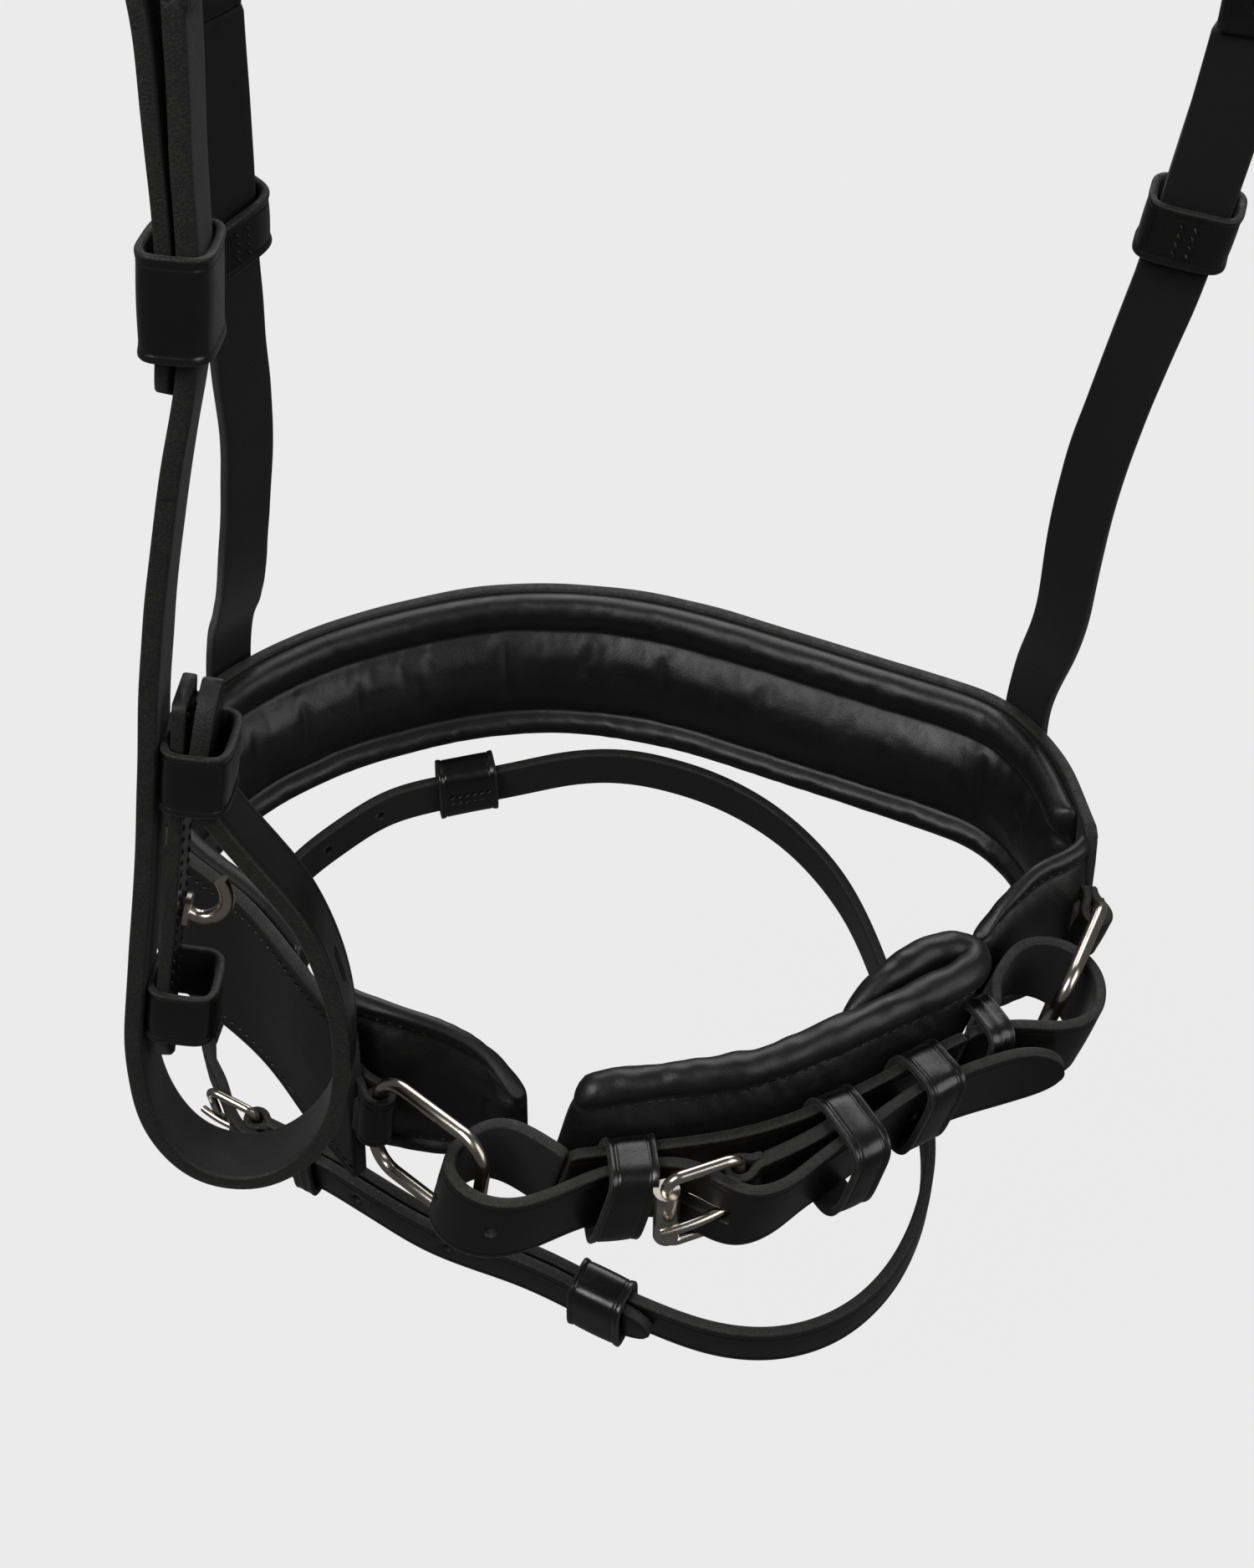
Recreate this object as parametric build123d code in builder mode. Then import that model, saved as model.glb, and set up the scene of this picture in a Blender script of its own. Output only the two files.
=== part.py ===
"""Leather bridle headpiece with a padded crank noseband, flash strap and one cheekpiece.

The frame hangs from the poll: the origin is the underside of the poll pad, Z is up,
Y points to the horse's nose and X to the side of the plain hanger.
"""

from build123d import *
from math import cos, radians, sin, tan
import os

os.makedirs("parts", exist_ok=True)

# ---- driving dimensions (mm) -------------------------------------------------
nose_level = -430.0        # middle of the noseband below the poll
noseband_height = 45.0
outer_leather = 3.5
lining_thickness = 8.0
nose_lean = 16.0           # how far the top edge sits ahead of the bottom edge

crank_width = 20.0         # crank strap, measured across
crank_leather = 3.0
chin_pad_height = 40.0
chin_pad_thickness = 12.0

ring_length = 35.0         # oblong rings, centre line of the wire
ring_height = 28.0
ring_wire = 3.6

flash_width = 12.5
flash_leather = 3.0
flash_drop = 21.5           # flash strap below the noseband's lower edge
flash_level = nose_level - noseband_height / 2 - flash_drop
flash_tilt = 10.0          # degrees, nose side carried higher

cheek_width = 16.0
cheek_leather = 4.0
hanger_width = 15.0
hanger_leather = 3.0
keeper_leather = 1.8
buckle_room = 2.4           # room inside a buckle beyond its strap's width
layer_gap = 0.35           # air between two layers that are not sewn

buckle_wire = 3.0
roller_outer = 3.2
pin_clearance = 0.08
tongue_wire = 2.6

poll_pad_thickness = 9.0
poll_pad_width = 42.0
crown_leather = 3.5
crown_width = 38.0


# ---- helpers -----------------------------------------------------------------
def curve_through(points):
    """A free curve through plan points, kept out of any builder."""
    return Spline(*points, mode=Mode.PRIVATE)


def side_points(curve, distance, start, stop, count=24):
    """Points beside a curve; positive distance lies on its left."""
    points = []
    for step in range(count + 1):
        share = start + (stop - start) * step / count
        place = curve @ share
        heading = curve % share
        points.append((place.X - heading.Y * distance, place.Y + heading.X * distance))
    return points


def band(plane, curve, near, far, start, stop, width, lean=(0, 0, 1), count=24):
    """Leather lying between two offsets of a curve, width measured along the lean."""
    inner = side_points(curve, near, start, stop, count)
    outer = side_points(curve, far, start, stop, count)
    with BuildPart() as piece:
        with BuildSketch(plane):
            with BuildLine():
                Spline(*inner)
                Line(inner[-1], outer[-1])
                Spline(*outer[::-1])
                Line(outer[0], inner[0])
            make_face()
        extrude(amount=width / 2, both=True, dir=lean)
    return piece


def punch(piece, curve, shares, plane, diameter, reach=12):
    """Round holes through a band at shares of its curve."""
    with BuildPart() as punched:
        add(piece.part)
        for share in shares:
            place = plane.from_local_coords(curve @ share)
            heading = plane.from_local_coords(curve @ share + curve % share) - place
            across = heading.cross(plane.z_dir)
            with BuildSketch(Plane(origin=place, x_dir=heading, z_dir=across)):
                Circle(diameter / 2)
            extrude(amount=reach, both=True, mode=Mode.SUBTRACT)
    return punched


def share_near(curve, point, steps=400):
    """The share of a curve's length that comes nearest to a point."""
    goal = Vector(*point)
    return min((((curve @ (step / steps)) - goal).length, step / steps) for step in range(steps + 1))[1]


def turned_across(stations, marks, share):
    """The across direction at a share of the path, turning evenly between stations."""
    for index in range(len(marks) - 1):
        if share <= marks[index + 1]:
            part = (share - marks[index]) / (marks[index + 1] - marks[index])
            first = Vector(*stations[index][1])
            second = Vector(*stations[index + 1][1])
            return first * (1 - part) + second * part
    return Vector(*stations[-1][1])


def ribbon(stations, width, thickness, sections):
    """A strap lofted along (point, direction across) stations."""
    path = curve_through([point for point, across in stations])
    marks = [share_near(path, point) for point, across in stations]
    with BuildPart() as piece:
        for index in range(sections + 1):
            share = index / sections
            along = path % share
            across = square_to(turned_across(stations, marks, share), along)
            with BuildSketch(Plane(origin=path @ share, x_dir=across, z_dir=along)):
                Rectangle(width, thickness)
        loft(ruled=True)
    return piece


def foot_stations(share, gap):
    """Where a hanger lies on the outside of the noseband, low and high."""
    place = nose_curve @ share
    heading = nose_curve % share
    reach = outer_leather + gap + hanger_leather / 2
    x = place.X - heading.Y * reach
    y = place.Y + heading.X * reach
    half = noseband_height / 2
    slope = nose_lean / noseband_height
    low = ((x, y - slope * half, nose_level - half), (heading.X, heading.Y, 0))
    high = ((x, y + slope * (half + 3), nose_level + half + 3), (heading.X, heading.Y, 0))
    return [low, high]


def slot(piece, plane, length, width, depth):
    """A straight slot cut right through a piece."""
    with BuildPart() as cut:
        add(piece.part)
        with Locations(plane.location):
            Box(length, width, depth, mode=Mode.SUBTRACT)
    return cut


def strap_buckle(origin, ahead, outward, reach, inner_width, wire, blade):
    """A plain buckle: an oblong frame with its rear bar at the origin, and its tongue."""
    ahead = Vector(ahead).normalized()
    outward = square_to(outward, ahead)
    start = Vector(*origin)
    frame = wire_loop(Plane(origin=start + ahead * (reach / 2), x_dir=ahead, z_dir=outward),
                      reach, inner_width + wire, 3.0, wire)
    rest_height = wire / 2 + layer_gap + blade / 2
    blade_part = tongue(Plane(origin=start, x_dir=ahead, z_dir=outward), reach + 2.0,
                        wire / 2, blade, rest_height)
    return frame, blade_part


def keeper_on(curve, share, inside, outside, width, length, level_plane, up):
    """A keeper round everything lying between two offsets of a curve."""
    place = curve @ share
    heading = curve % share
    normal = Vector(-heading.Y, heading.X, 0)
    middle = place + normal * ((inside + outside) / 2)
    centre = level_plane.from_local_coords(middle)
    ahead = level_plane.from_local_coords((middle + heading)) - centre
    across = square_to(up, ahead)
    frame = Plane(origin=centre, x_dir=across, z_dir=ahead)
    return keeper(frame, width, inside - outside, length)


def keeper(plane, inner_width, inner_depth, length):
    """A closed leather loop; the strap runs along the plane's normal."""
    with BuildPart() as piece:
        with BuildSketch(plane):
            Rectangle(inner_width + 2 * keeper_leather, inner_depth + 2 * keeper_leather)
            Rectangle(inner_width, inner_depth, mode=Mode.SUBTRACT)
        extrude(amount=length / 2, both=True)
    return piece


def wire_loop(plane, length, height, corner, wire):
    """A closed oblong of round wire in a plane, given by its centre line."""
    with BuildPart() as piece:
        with BuildLine(plane) as path:
            FilletPolyline(
                (-length / 2, -height / 2),
                (length / 2, -height / 2),
                (length / 2, height / 2),
                (-length / 2, height / 2),
                radius=corner,
                close=True,
            )
        start = path.line @ 0
        with BuildSketch(Plane(origin=start, z_dir=path.line % 0)):
            Circle(wire / 2)
        sweep(path=path.line)
    return piece


def tongue(plane, length, bar_radius, wire, drop=0.0):
    """A buckle tongue: an eye round the bar (plane origin, bar along local Y) and its blade."""
    eye = bar_radius + pin_clearance
    with BuildPart() as piece:
        with BuildSketch(Plane(origin=plane.origin, x_dir=plane.x_dir, z_dir=plane.y_dir)):
            Circle(eye + wire * 0.55)
        extrude(amount=wire / 2, both=True)
        with BuildLine(plane) as path:
            Spline((0, 0, eye + wire * 0.4), (length * 0.5, 0, eye + wire * 0.5 + drop * 0.4), (length, 0, drop))
        with BuildSketch(Plane(origin=path.line @ 0, z_dir=path.line % 0)):
            Circle(wire / 2)
        sweep(path=path.line)
        with BuildSketch(Plane(origin=plane.origin, x_dir=plane.x_dir, z_dir=plane.y_dir)):
            Circle(eye)
        extrude(amount=wire * 2, both=True, mode=Mode.SUBTRACT)
    return piece


def fold(plane, bar_radius, leather, tail_length, width, slot_width, lean=None):
    """Leather folded round a bar (plane origin, bar along the normal), tail along local -X."""
    bore = bar_radius + layer_gap
    outside = bore + leather
    direction = lean if lean else plane.z_dir
    with BuildPart() as piece:
        with BuildSketch(plane):
            Circle(outside)
            with Locations((-tail_length / 2, 0)):
                Rectangle(tail_length, 2 * outside)
            Circle(bore, mode=Mode.SUBTRACT)
        extrude(amount=width / 2, both=True, dir=direction)
        if slot_width:
            with BuildSketch(plane):
                Rectangle(2 * outside + 1, 2 * outside + 1)
            extrude(amount=slot_width / 2, both=True, mode=Mode.SUBTRACT)
    return piece


def square_to(direction, up):
    """The part of a direction that is square to up, as a unit vector."""
    flat = Vector(direction)
    axis = Vector(up).normalized()
    return (flat - axis * flat.dot(axis)).normalized()


def join(*pieces):
    """Fuse pieces that are one length of leather."""
    with BuildPart() as whole:
        for piece in pieces:
            add(piece.part)
    return whole


def save(piece, label):
    """Name a finished piece and write it out."""
    piece.part.label = label
    export_step(piece.part, "parts/" + label + ".step")


# ---- noseband ----------------------------------------------------------------
nose_plane = Plane.XY.offset(nose_level)
nose_dir = (0, nose_lean, noseband_height)
nose_curve = curve_through([
    (-88, -62), (-102, -44), (-120, -20), (-143, 2), (-153, 24), (-146, 52), (-122, 79),
    (-90, 96), (-60, 104), (-33, 104), (-8, 98), (18, 87), (43, 75), (66, 64), (84, 53),
    (94, 38), (99, 20), (101, 4),
])

noseband_outer = band(nose_plane, nose_curve, 0, outer_leather, 0, 1, noseband_height, nose_dir, 60)
save(noseband_outer, "noseband_outer_strap")

noseband_lining = band(nose_plane, nose_curve, -lining_thickness, -0.03, 0.066, 0.985,
                       noseband_height - 1, nose_dir, 60)
save(noseband_lining, "noseband_padded_lining")

tab_curve = curve_through([(-102.2, -43), (-93.5, -50.4), (-83, -55), (-70, -58), (-57, -61), (-48.5, -66)])
end_tab = band(nose_plane, tab_curve, 0, 6, 0.02, 1, noseband_height - 1, nose_dir)
save(end_tab, "left_padded_end_tab")

# ---- oblong rings in their chapes ---------------------------------------------
crank_lean = (0.25, 0.10, 1.0)


def lean_square_to(direction):
    """The crank strap's lean, made square to a level direction."""
    return square_to(crank_lean, direction)



left_bar = (-84.0, -66.0, nose_level)
left_ring_dir = Vector(26.5, -22.5, 0).normalized()
left_ring_lean = lean_square_to(left_ring_dir)
left_ring_centre = Vector(*left_bar) + left_ring_dir * (ring_length / 2)
left_ring_plane = Plane(origin=left_ring_centre, x_dir=left_ring_dir,
                        z_dir=left_ring_dir.cross(left_ring_lean))
left_ring = wire_loop(left_ring_plane, ring_length, ring_height, 8, ring_wire)
save(left_ring, "left_crank_ring")

left_chape = fold(Plane(origin=left_bar, x_dir=(0.62, -0.78, 0), z_dir=(0, 0, 1)),
                  ring_wire / 2, 2.2, 4.2, 10, 0, left_ring_lean)
save(left_chape, "left_ring_chape")

right_bar = (102.5, -5.0, nose_level)
right_ring_dir = Vector(-15.2, -31.0, 0).normalized()
right_ring_lean = lean_square_to(right_ring_dir)
right_ring_centre = Vector(*right_bar) + right_ring_dir * (ring_length / 2)
right_ring_plane = Plane(origin=right_ring_centre, x_dir=right_ring_dir,
                         z_dir=right_ring_dir.cross(right_ring_lean))
right_ring = wire_loop(right_ring_plane, ring_length, ring_height, 8, ring_wire)
save(right_ring, "right_crank_ring")

right_chape = fold(Plane(origin=right_bar, x_dir=(0.12, -0.99, 0), z_dir=(0, 0, 1)),
                   ring_wire / 2, 2.2, 6.6, 10, 0, right_ring_lean)
save(right_chape, "right_ring_chape")

# ---- chin pad and crank strap --------------------------------------------------
chin_curve = curve_through([
    (-38, -83.6), (-24, -81.7), (-10, -79.8), (5, -76.6), (28, -67), (48, -55), (60, -48),
])
pad_face = 3.8
chin_pad = band(nose_plane, chin_curve, pad_face, pad_face + chin_pad_thickness, 0, 1,
                chin_pad_height, crank_lean)
save(chin_pad, "chin_pad")

chin_strap = band(nose_plane, chin_curve, -crank_leather, 0, 0, 1, crank_width, crank_lean)
save(chin_strap, "chin_strap")

billet_curve = curve_through([
    (-38.9, -84.9), (-46, -79.6), (-55, -76), (-62.8, -79.8), (-66.5, -87.5), (-61.5, -95.5), (-51, -98.5),
    (-40, -94.8), (-30, -90.1), (-21.5, -87.8), (-14.2, -87.2), (-8.4, -88.3),
    (-2.2, -91.8), (6.2, -95.1), (14, -92.4), (21, -86.5),
    (28, -80.8), (36.5, -74), (46, -66.6), (58, -60.5), (70, -55.8), (80, -53.4), (88, -53),
])
crank_billet = band(nose_plane, billet_curve, -crank_leather / 2, crank_leather / 2, 0, 1,
                    crank_width, crank_lean, 70)

# ---- crank buckle ----------------------------------------------------------------
rear_bar = (4.7, -87.6, nose_level)
roller_reach = 18.6
buckle_dir = Vector(-0.93, -0.36, 0).normalized()
lean_axis = lean_square_to(buckle_dir)
buckle_out = lean_axis.cross(buckle_dir)
buckle_centre = Vector(*rear_bar) + buckle_dir * (roller_reach / 2)
buckle_plane = Plane(origin=buckle_centre, x_dir=buckle_dir, z_dir=buckle_out)
crank_frame = wire_loop(buckle_plane, roller_reach, crank_width + 6, 3.5, buckle_wire)
save(crank_frame, "crank_buckle_frame")

blade_plane = Plane(origin=rear_bar, x_dir=buckle_dir, z_dir=buckle_out)
with BuildPart() as crank_tongue:
    add(tongue(blade_plane, roller_reach + 3.5, buckle_wire / 2, tongue_wire,
               roller_outer + layer_gap + tongue_wire / 2).part)
save(crank_tongue, "crank_buckle_tongue")

roller_centre = Vector(*rear_bar) + buckle_dir * roller_reach
with BuildPart() as roller:
    with BuildSketch(Plane(origin=roller_centre, x_dir=buckle_dir, z_dir=lean_axis)):
        Circle(roller_outer)
        Circle(buckle_wire / 2 + pin_clearance, mode=Mode.SUBTRACT)
    extrude(amount=crank_width / 2 - 0.5, both=True)
save(roller, "crank_buckle_roller")

crank_billet = slot(crank_billet, Plane(origin=Vector(*rear_bar) + buckle_dir * 7, x_dir=buckle_dir,
                                        z_dir=buckle_out), 18, tongue_wire + 1.4, 14)
billet_hole_shares = [0.175, 0.255, 0.80]
crank_billet = punch(crank_billet, billet_curve, billet_hole_shares, nose_plane, 3.4, 4)
save(crank_billet, "crank_billet")

turnback_curve = curve_through([(4.7, -87.6), (13, -83.6), (21, -79), (26, -75.7), (30.5, -72.6)])
turnback_fold = fold(Plane(origin=rear_bar, x_dir=(-0.9, -0.44, 0), z_dir=(0, 0, 1)),
                     buckle_wire / 2, 2.2, 6, crank_width - 1.6, tongue_wire + 1.4, lean_axis)
turnback_tail = band(nose_plane, turnback_curve, -1.9, 1.9, 0.13, 1, crank_width - 1, crank_lean)
turnback = join(turnback_fold, turnback_tail)
save(turnback, "crank_buckle_turnback")

loop_curve = curve_through([
    (61.8, -48.4), (68, -46.6), (76, -45.8), (86, -46), (93.3, -43), (97, -35), (95.5, -25),
    (89, -19), (80, -19.2), (74, -25.5), (70.5, -33), (69, -40), (65.4, -43.6),
])
right_loop = band(nose_plane, loop_curve, -crank_leather / 2, crank_leather / 2, 0, 1,
                  crank_width, crank_lean, 50)
save(right_loop, "right_crank_loop")

keeper_room = crank_width + 1.6
keeper_a = keeper_on(chin_curve, 0.13, 0.8, -12.4, keeper_room, 12, nose_plane, (0, 0, 1))
save(keeper_a, "long_chin_keeper")
keeper_b = keeper_on(chin_curve, 0.62, 0.8, -19.0, keeper_room, 10, nose_plane, (0, 0, 1))
save(keeper_b, "middle_chin_keeper")
keeper_c = keeper_on(chin_curve, 0.86, 0.8, -12.8, keeper_room, 11, nose_plane, (0, 0, 1))
save(keeper_c, "billet_tip_keeper")
keeper_d = keeper(Plane(origin=(66.4, -45.4, nose_level), x_dir=(0, 0, 1), z_dir=(0.9, 0.44, 0)),
                  keeper_room, 14.2, 7)
save(keeper_d, "small_loop_keeper")

# ---- flash strap -------------------------------------------------------------------
flash_plane = Plane(origin=(0, 0, flash_level), x_dir=(1, 0, 0),
                    z_dir=(0, -sin(radians(flash_tilt)), cos(radians(flash_tilt))))
flash_curve = curve_through([
    (-121, -35), (-107, -42), (-92, -50.5), (-75, -61), (-46, -72.5), (-27, -82), (-14, -88),
    (0, -93), (11, -94.5), (24, -93), (35, -88), (45, -79), (54, -64), (59, -45), (56.5, -15),
    (50, 14), (41, 40), (30, 57), (12, 73), (-9, 83), (-30, 86.5), (-49, 83.5), (-71, 78),
    (-95, 70.5), (-108, 60.5), (-120, 48), (-129.5, 30), (-137, 8), (-140, -6),
])
flash_long = band(flash_plane, flash_curve, -flash_leather, 0, 0, 1, flash_width, (0, 0, 1), 90)

billet_start = share_near(flash_curve, (-106, -42))
billet_path = curve_through(
    [(-141.4, -5.5), (-139.2, -16), (-134.9, -24.0), (-131.2, -33.0), (-126.2, -39.6), (-117, -43.8)]
    + side_points(flash_curve, -flash_leather * 1.5 - layer_gap - 0.1, billet_start, 0.215, 8)
)
flash_tip = band(flash_plane, billet_path, -flash_leather / 2, flash_leather / 2, 0, 1,
                 flash_width, (0, 0, 1), 60)
flash_eye = flash_plane.from_local_coords((-123.8, -34.8))
flash_ahead = flash_plane.from_local_coords((-124.68, -34.33)) - flash_eye
flash_bar = flash_plane.z_dir
flash_out = flash_ahead.cross(flash_bar) * -1
flash_frame, flash_tongue = strap_buckle(flash_eye, flash_ahead, flash_out, 15,
                                         flash_width + buckle_room + 0.5, 2.4, 2.0)
save(flash_frame, "flash_buckle_frame")
save(flash_tongue, "flash_buckle_tongue")
flash_fold = fold(Plane(origin=flash_eye, x_dir=flash_ahead, z_dir=flash_bar), 1.2, 2.0, 4,
                  flash_width, 3.2)
flash_strap = join(flash_long, flash_tip, flash_fold)
flash_strap = slot(flash_strap, Plane(origin=flash_eye + flash_ahead * 5.5, x_dir=flash_ahead,
                                      z_dir=flash_out), 13, 3.2, 11)
flash_hole_points = [(-112, -40), (-94, -49.5), (-69, -63.5), (-98, 69), (-112, 56.5), (-137, 6)]
flash_hole_shares = [share_near(flash_curve, point) for point in flash_hole_points]
flash_strap = punch(flash_strap, flash_curve, flash_hole_shares, flash_plane, 3.2, 9)
save(flash_strap, "flash_strap")

chin_keeper_share = share_near(flash_curve, (-27, -82))
flash_keeper = keeper_on(flash_curve, chin_keeper_share, 0.4, -flash_leather * 2 - 0.95,
                         flash_width + 1.2, 15, flash_plane, (0, 0, 1))
save(flash_keeper, "flash_chin_keeper")
small_share = share_near(flash_curve, (-106.5, -42))
flash_small = keeper_on(flash_curve, small_share, 0.4, -flash_leather * 2 - 1.3,
                        flash_width + 1.2, 6, flash_plane, (0, 0, 1))
save(flash_small, "flash_buckle_keeper")

loop_share = share_near(flash_curve, (-71, 78))
loop_seat = 3.7             # the loop reaches back to the noseband lining that it is sewn to
flash_loop = keeper_on(flash_curve, loop_share, 0.6, -flash_leather - loop_seat,
                       flash_width + 1.5, 18, flash_plane, (0, 0, 1))
save(flash_loop, "flash_carrier_loop")

# ---- cheekpiece with its bit loop -------------------------------------------------------
cheek_plane = Plane(origin=(0, 0, 0), x_dir=(1, 0, 0), z_dir=(0, -0.98, 0.19))
cheek_curve = curve_through([
    (-95.9, -164), (-96.9, -178), (-98, -192), (-99.8, -218), (-101.8, -230), (-105, -242), (-109.5, -259),
    (-113.6, -277), (-117.3, -296), (-120.5, -316), (-124, -338), (-128, -360), (-132.5, -384),
    (-134, -402), (-131, -420), (-123, -431), (-112.5, -433.5), (-101, -428.5), (-91, -415.5),
    (-87, -397), (-86.8, -384), (-88.5, -372), (-94.5, -353), (-101.5, -341), (-107.4, -331),
    (-110.5, -322), (-108.9, -311), (-106.3, -299),
])
half_cheek = cheek_leather / 2
cheek_body = band(cheek_plane, cheek_curve, -half_cheek, half_cheek, 0, 1, cheek_width,
                  (0, -0.98, 0.19), 80)
cheek_eye = cheek_plane.from_local_coords((-95.4, -158))
cheek_fold = fold(Plane(origin=cheek_eye, x_dir=(0.05, 0.19, 0.98), z_dir=(0, 0.98, -0.19)),
                  1.4, 2.2, 8, cheek_width, 3.6)
cheekpiece = join(cheek_body, cheek_fold)
stud_share = share_near(cheek_curve, (-88, -374))
stud_place = cheek_plane.from_local_coords(cheek_curve @ stud_share)
stud_heading = cheek_plane.from_local_coords(cheek_curve @ stud_share + cheek_curve % stud_share)
cheekpiece = slot(cheekpiece, Plane(origin=stud_place, x_dir=stud_heading - stud_place,
                                    z_dir=(stud_heading - stud_place).cross(cheek_plane.z_dir)),
                  12, 3.2, 8)
save(cheekpiece, "cheekpiece_bit_loop")

tab_top = share_near(cheek_curve, (-117.8, -300))
tab_end = share_near(cheek_curve, (-134, -398))
stud_tab = band(cheek_plane, cheek_curve, 4.5, 7.5, tab_top, tab_end, cheek_width - 2,
                (0, -0.98, 0.19))
save(stud_tab, "hook_stud_tab")

upper_share = share_near(cheek_curve, (-120.7, -317))
cheek_upper = keeper_on(cheek_curve, upper_share, 15.3, 4.15, cheek_width + 1, 15, cheek_plane,
                        (0, -0.98, 0.19))
save(cheek_upper, "bit_loop_upper_keeper")
lower_share = share_near(cheek_curve, (-131.8, -380))
cheek_lower = keeper_on(cheek_curve, lower_share, 16.0, 4.15, cheek_width - 0.8, 14, cheek_plane,
                        (0, -0.98, 0.19))
save(cheek_lower, "bit_loop_lower_keeper")

stud_root = cheek_plane.from_local_coords((-118.9, -357.4))
stud_in = cheek_plane.from_local_coords((-117.92, -357.6)) - stud_root
with BuildPart() as hook_stud:
    with BuildSketch(Plane(origin=stud_root, z_dir=stud_in)):
        Circle(4.2)
    extrude(amount=1.1)
    with BuildLine(cheek_plane) as hook_path:
        Spline((-118.8, -357.5), (-114, -359.4), (-110.3, -357), (-109.4, -352.5), (-110.2, -349.5))
    with BuildSketch(Plane(origin=hook_path.line @ 0, z_dir=hook_path.line % 0)):
        Circle(1.7)
    sweep(path=hook_path.line)
save(hook_stud, "hook_stud")

# ---- crown over the poll -------------------------------------------------------------------
poll_plane = Plane(origin=(0, 0, 0), x_dir=(1, 0, 0), z_dir=(0, -1, 0))
poll_curve = curve_through([(84, -92), (66, -45), (38, -13), (0, 0), (-38, -13), (-66, -45), (-84, -92)])
poll_pad = band(poll_plane, poll_curve, 0.03 - poll_pad_thickness, 0, 0.08, 0.92, poll_pad_width,
                (0, 1, 0), 30)
save(poll_pad, "poll_pad")
crown_strap = band(poll_plane, poll_curve, -poll_pad_thickness - crown_leather, -poll_pad_thickness,
                   0.03, 0.97, crown_width, (0, 1, 0), 30)
save(crown_strap, "crown_strap")

over_crown = -(poll_pad_thickness + crown_leather + layer_gap + hanger_leather / 2)


def over_poll(first, last, count, start_y, end_y, lean_in):
    """Stations of a strap lying on the crown between two shares of the poll curve."""
    found = []
    points = side_points(poll_curve, over_crown, first, last, count)
    for index in range(count + 1):
        share = index / count
        y = start_y + (end_y - start_y) * share
        edge = max(0.0, 1 - 5 * share) * lean_in[0] + max(0.0, 5 * share - 4) * lean_in[1]
        found.append(((points[index][0], y, points[index][1]), (edge, -1, 0)))
    return found


# ---- noseband headstrap: one strap over the poll with a billet at each end ------------------
right_across = (0.95, -0.30, 0)
right_out = (0.30, 0.95, 0)
left_across = (0.60, 0.80, 0)
left_over = (-0.60, -0.80, 0)
left_out = (-0.80, 0.60, 0)
right_eye = (100.3, 19.6, -184)
left_eye = (-97.2, -4.5, -170)

headstrap_stations = [
    ((97.2, 36.4, -268), right_across),
    ((98.9, 30.6, -240), right_across),
    ((100.8, 26.0, -208), right_across),
    ((102.2, 25.5, -191), right_across),
    ((102.2, 25.3, -181.5), right_across),
    ((100.8, 20.8, -175.2), right_across),
    ((99.1, 15.8, -169), right_across),
    ((98.8, 14.6, -156), right_across),
    ((98.6, 12.6, -122), (0.7, -0.7, 0)),
] + over_poll(0.0, 1.0, 12, 10, 5, (0.0, 0.0)) + [
    ((-96.4, -2.9, -116), (-0.3, -0.95, 0)),
    ((-93.7, -7.2, -136), left_over),
    ((-93.9, -7.1, -155), left_over),
    ((-97.8, -4.0, -161.2), left_over),
    ((-102.5, -0.5, -168), left_over),
    ((-102.6, 0.2, -178), left_over),
    ((-103.4, 1.6, -192), left_over),
    ((-105.2, 5.8, -209), left_over),
    ((-107.3, 11.6, -232), left_over),
    ((-110.4, 19.6, -256), left_over),
]
headstrap = ribbon(headstrap_stations, hanger_width, hanger_leather, 56)
headstrap = slot(headstrap, Plane(origin=(100.4, 20.0, -178), x_dir=(0, 0, 1), z_dir=right_out),
                 20, 3.6, 18)
headstrap = slot(headstrap, Plane(origin=(-97.5, -4.3, -164), x_dir=(0, 0, 1), z_dir=left_out),
                 20, 3.6, 18)
save(headstrap, "noseband_headstrap")

# ---- hangers that carry the noseband ---------------------------------------------------------
right_foot = foot_stations(share_near(nose_curve, (88, 48.5)), 0.9)
right_hanger_body = ribbon(right_foot + [
    ((93.2, 50.0, -374), (0.70, -0.71, 0)),
    ((91.2, 40.0, -321), (0.85, -0.50, 0)),
    ((95.4, 32.0, -268), right_across),
    ((98.1, 26.0, -235), right_across),
    ((99.9, 20.6, -193), right_across),
], hanger_width, hanger_leather, 28)
right_fold = fold(Plane(origin=right_eye, x_dir=(0.02, -0.06, 1), z_dir=right_across),
                  1.4, 2.0, 8, hanger_width, 3.4)
right_hanger = join(right_hanger_body, right_fold)
save(right_hanger, "right_hanger")

left_foot = foot_stations(share_near(nose_curve, (-133, 68)), 0.9)
left_hanger_body = ribbon(left_foot + [
    ((-129.5, 66.0, -376), (0.68, 0.73, 0)),
    ((-121.0, 46.0, -344), (0.66, 0.75, 0)),
    ((-111.5, 31.0, -297), (0.62, 0.78, 0)),
    ((-107.6, 20.0, -266), left_across),
    ((-103.0, 7.0, -226), left_across),
    ((-99.2, -1.4, -196), left_across),
    ((-97.6, -3.6, -179), left_across),
], hanger_width, hanger_leather, 28)
left_fold = fold(Plane(origin=left_eye, x_dir=(0.08, -0.2, 1), z_dir=left_across),
                 1.4, 2.0, 8, hanger_width, 3.4)
left_hanger = join(left_hanger_body, left_fold)
save(left_hanger, "left_hanger")

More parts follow.
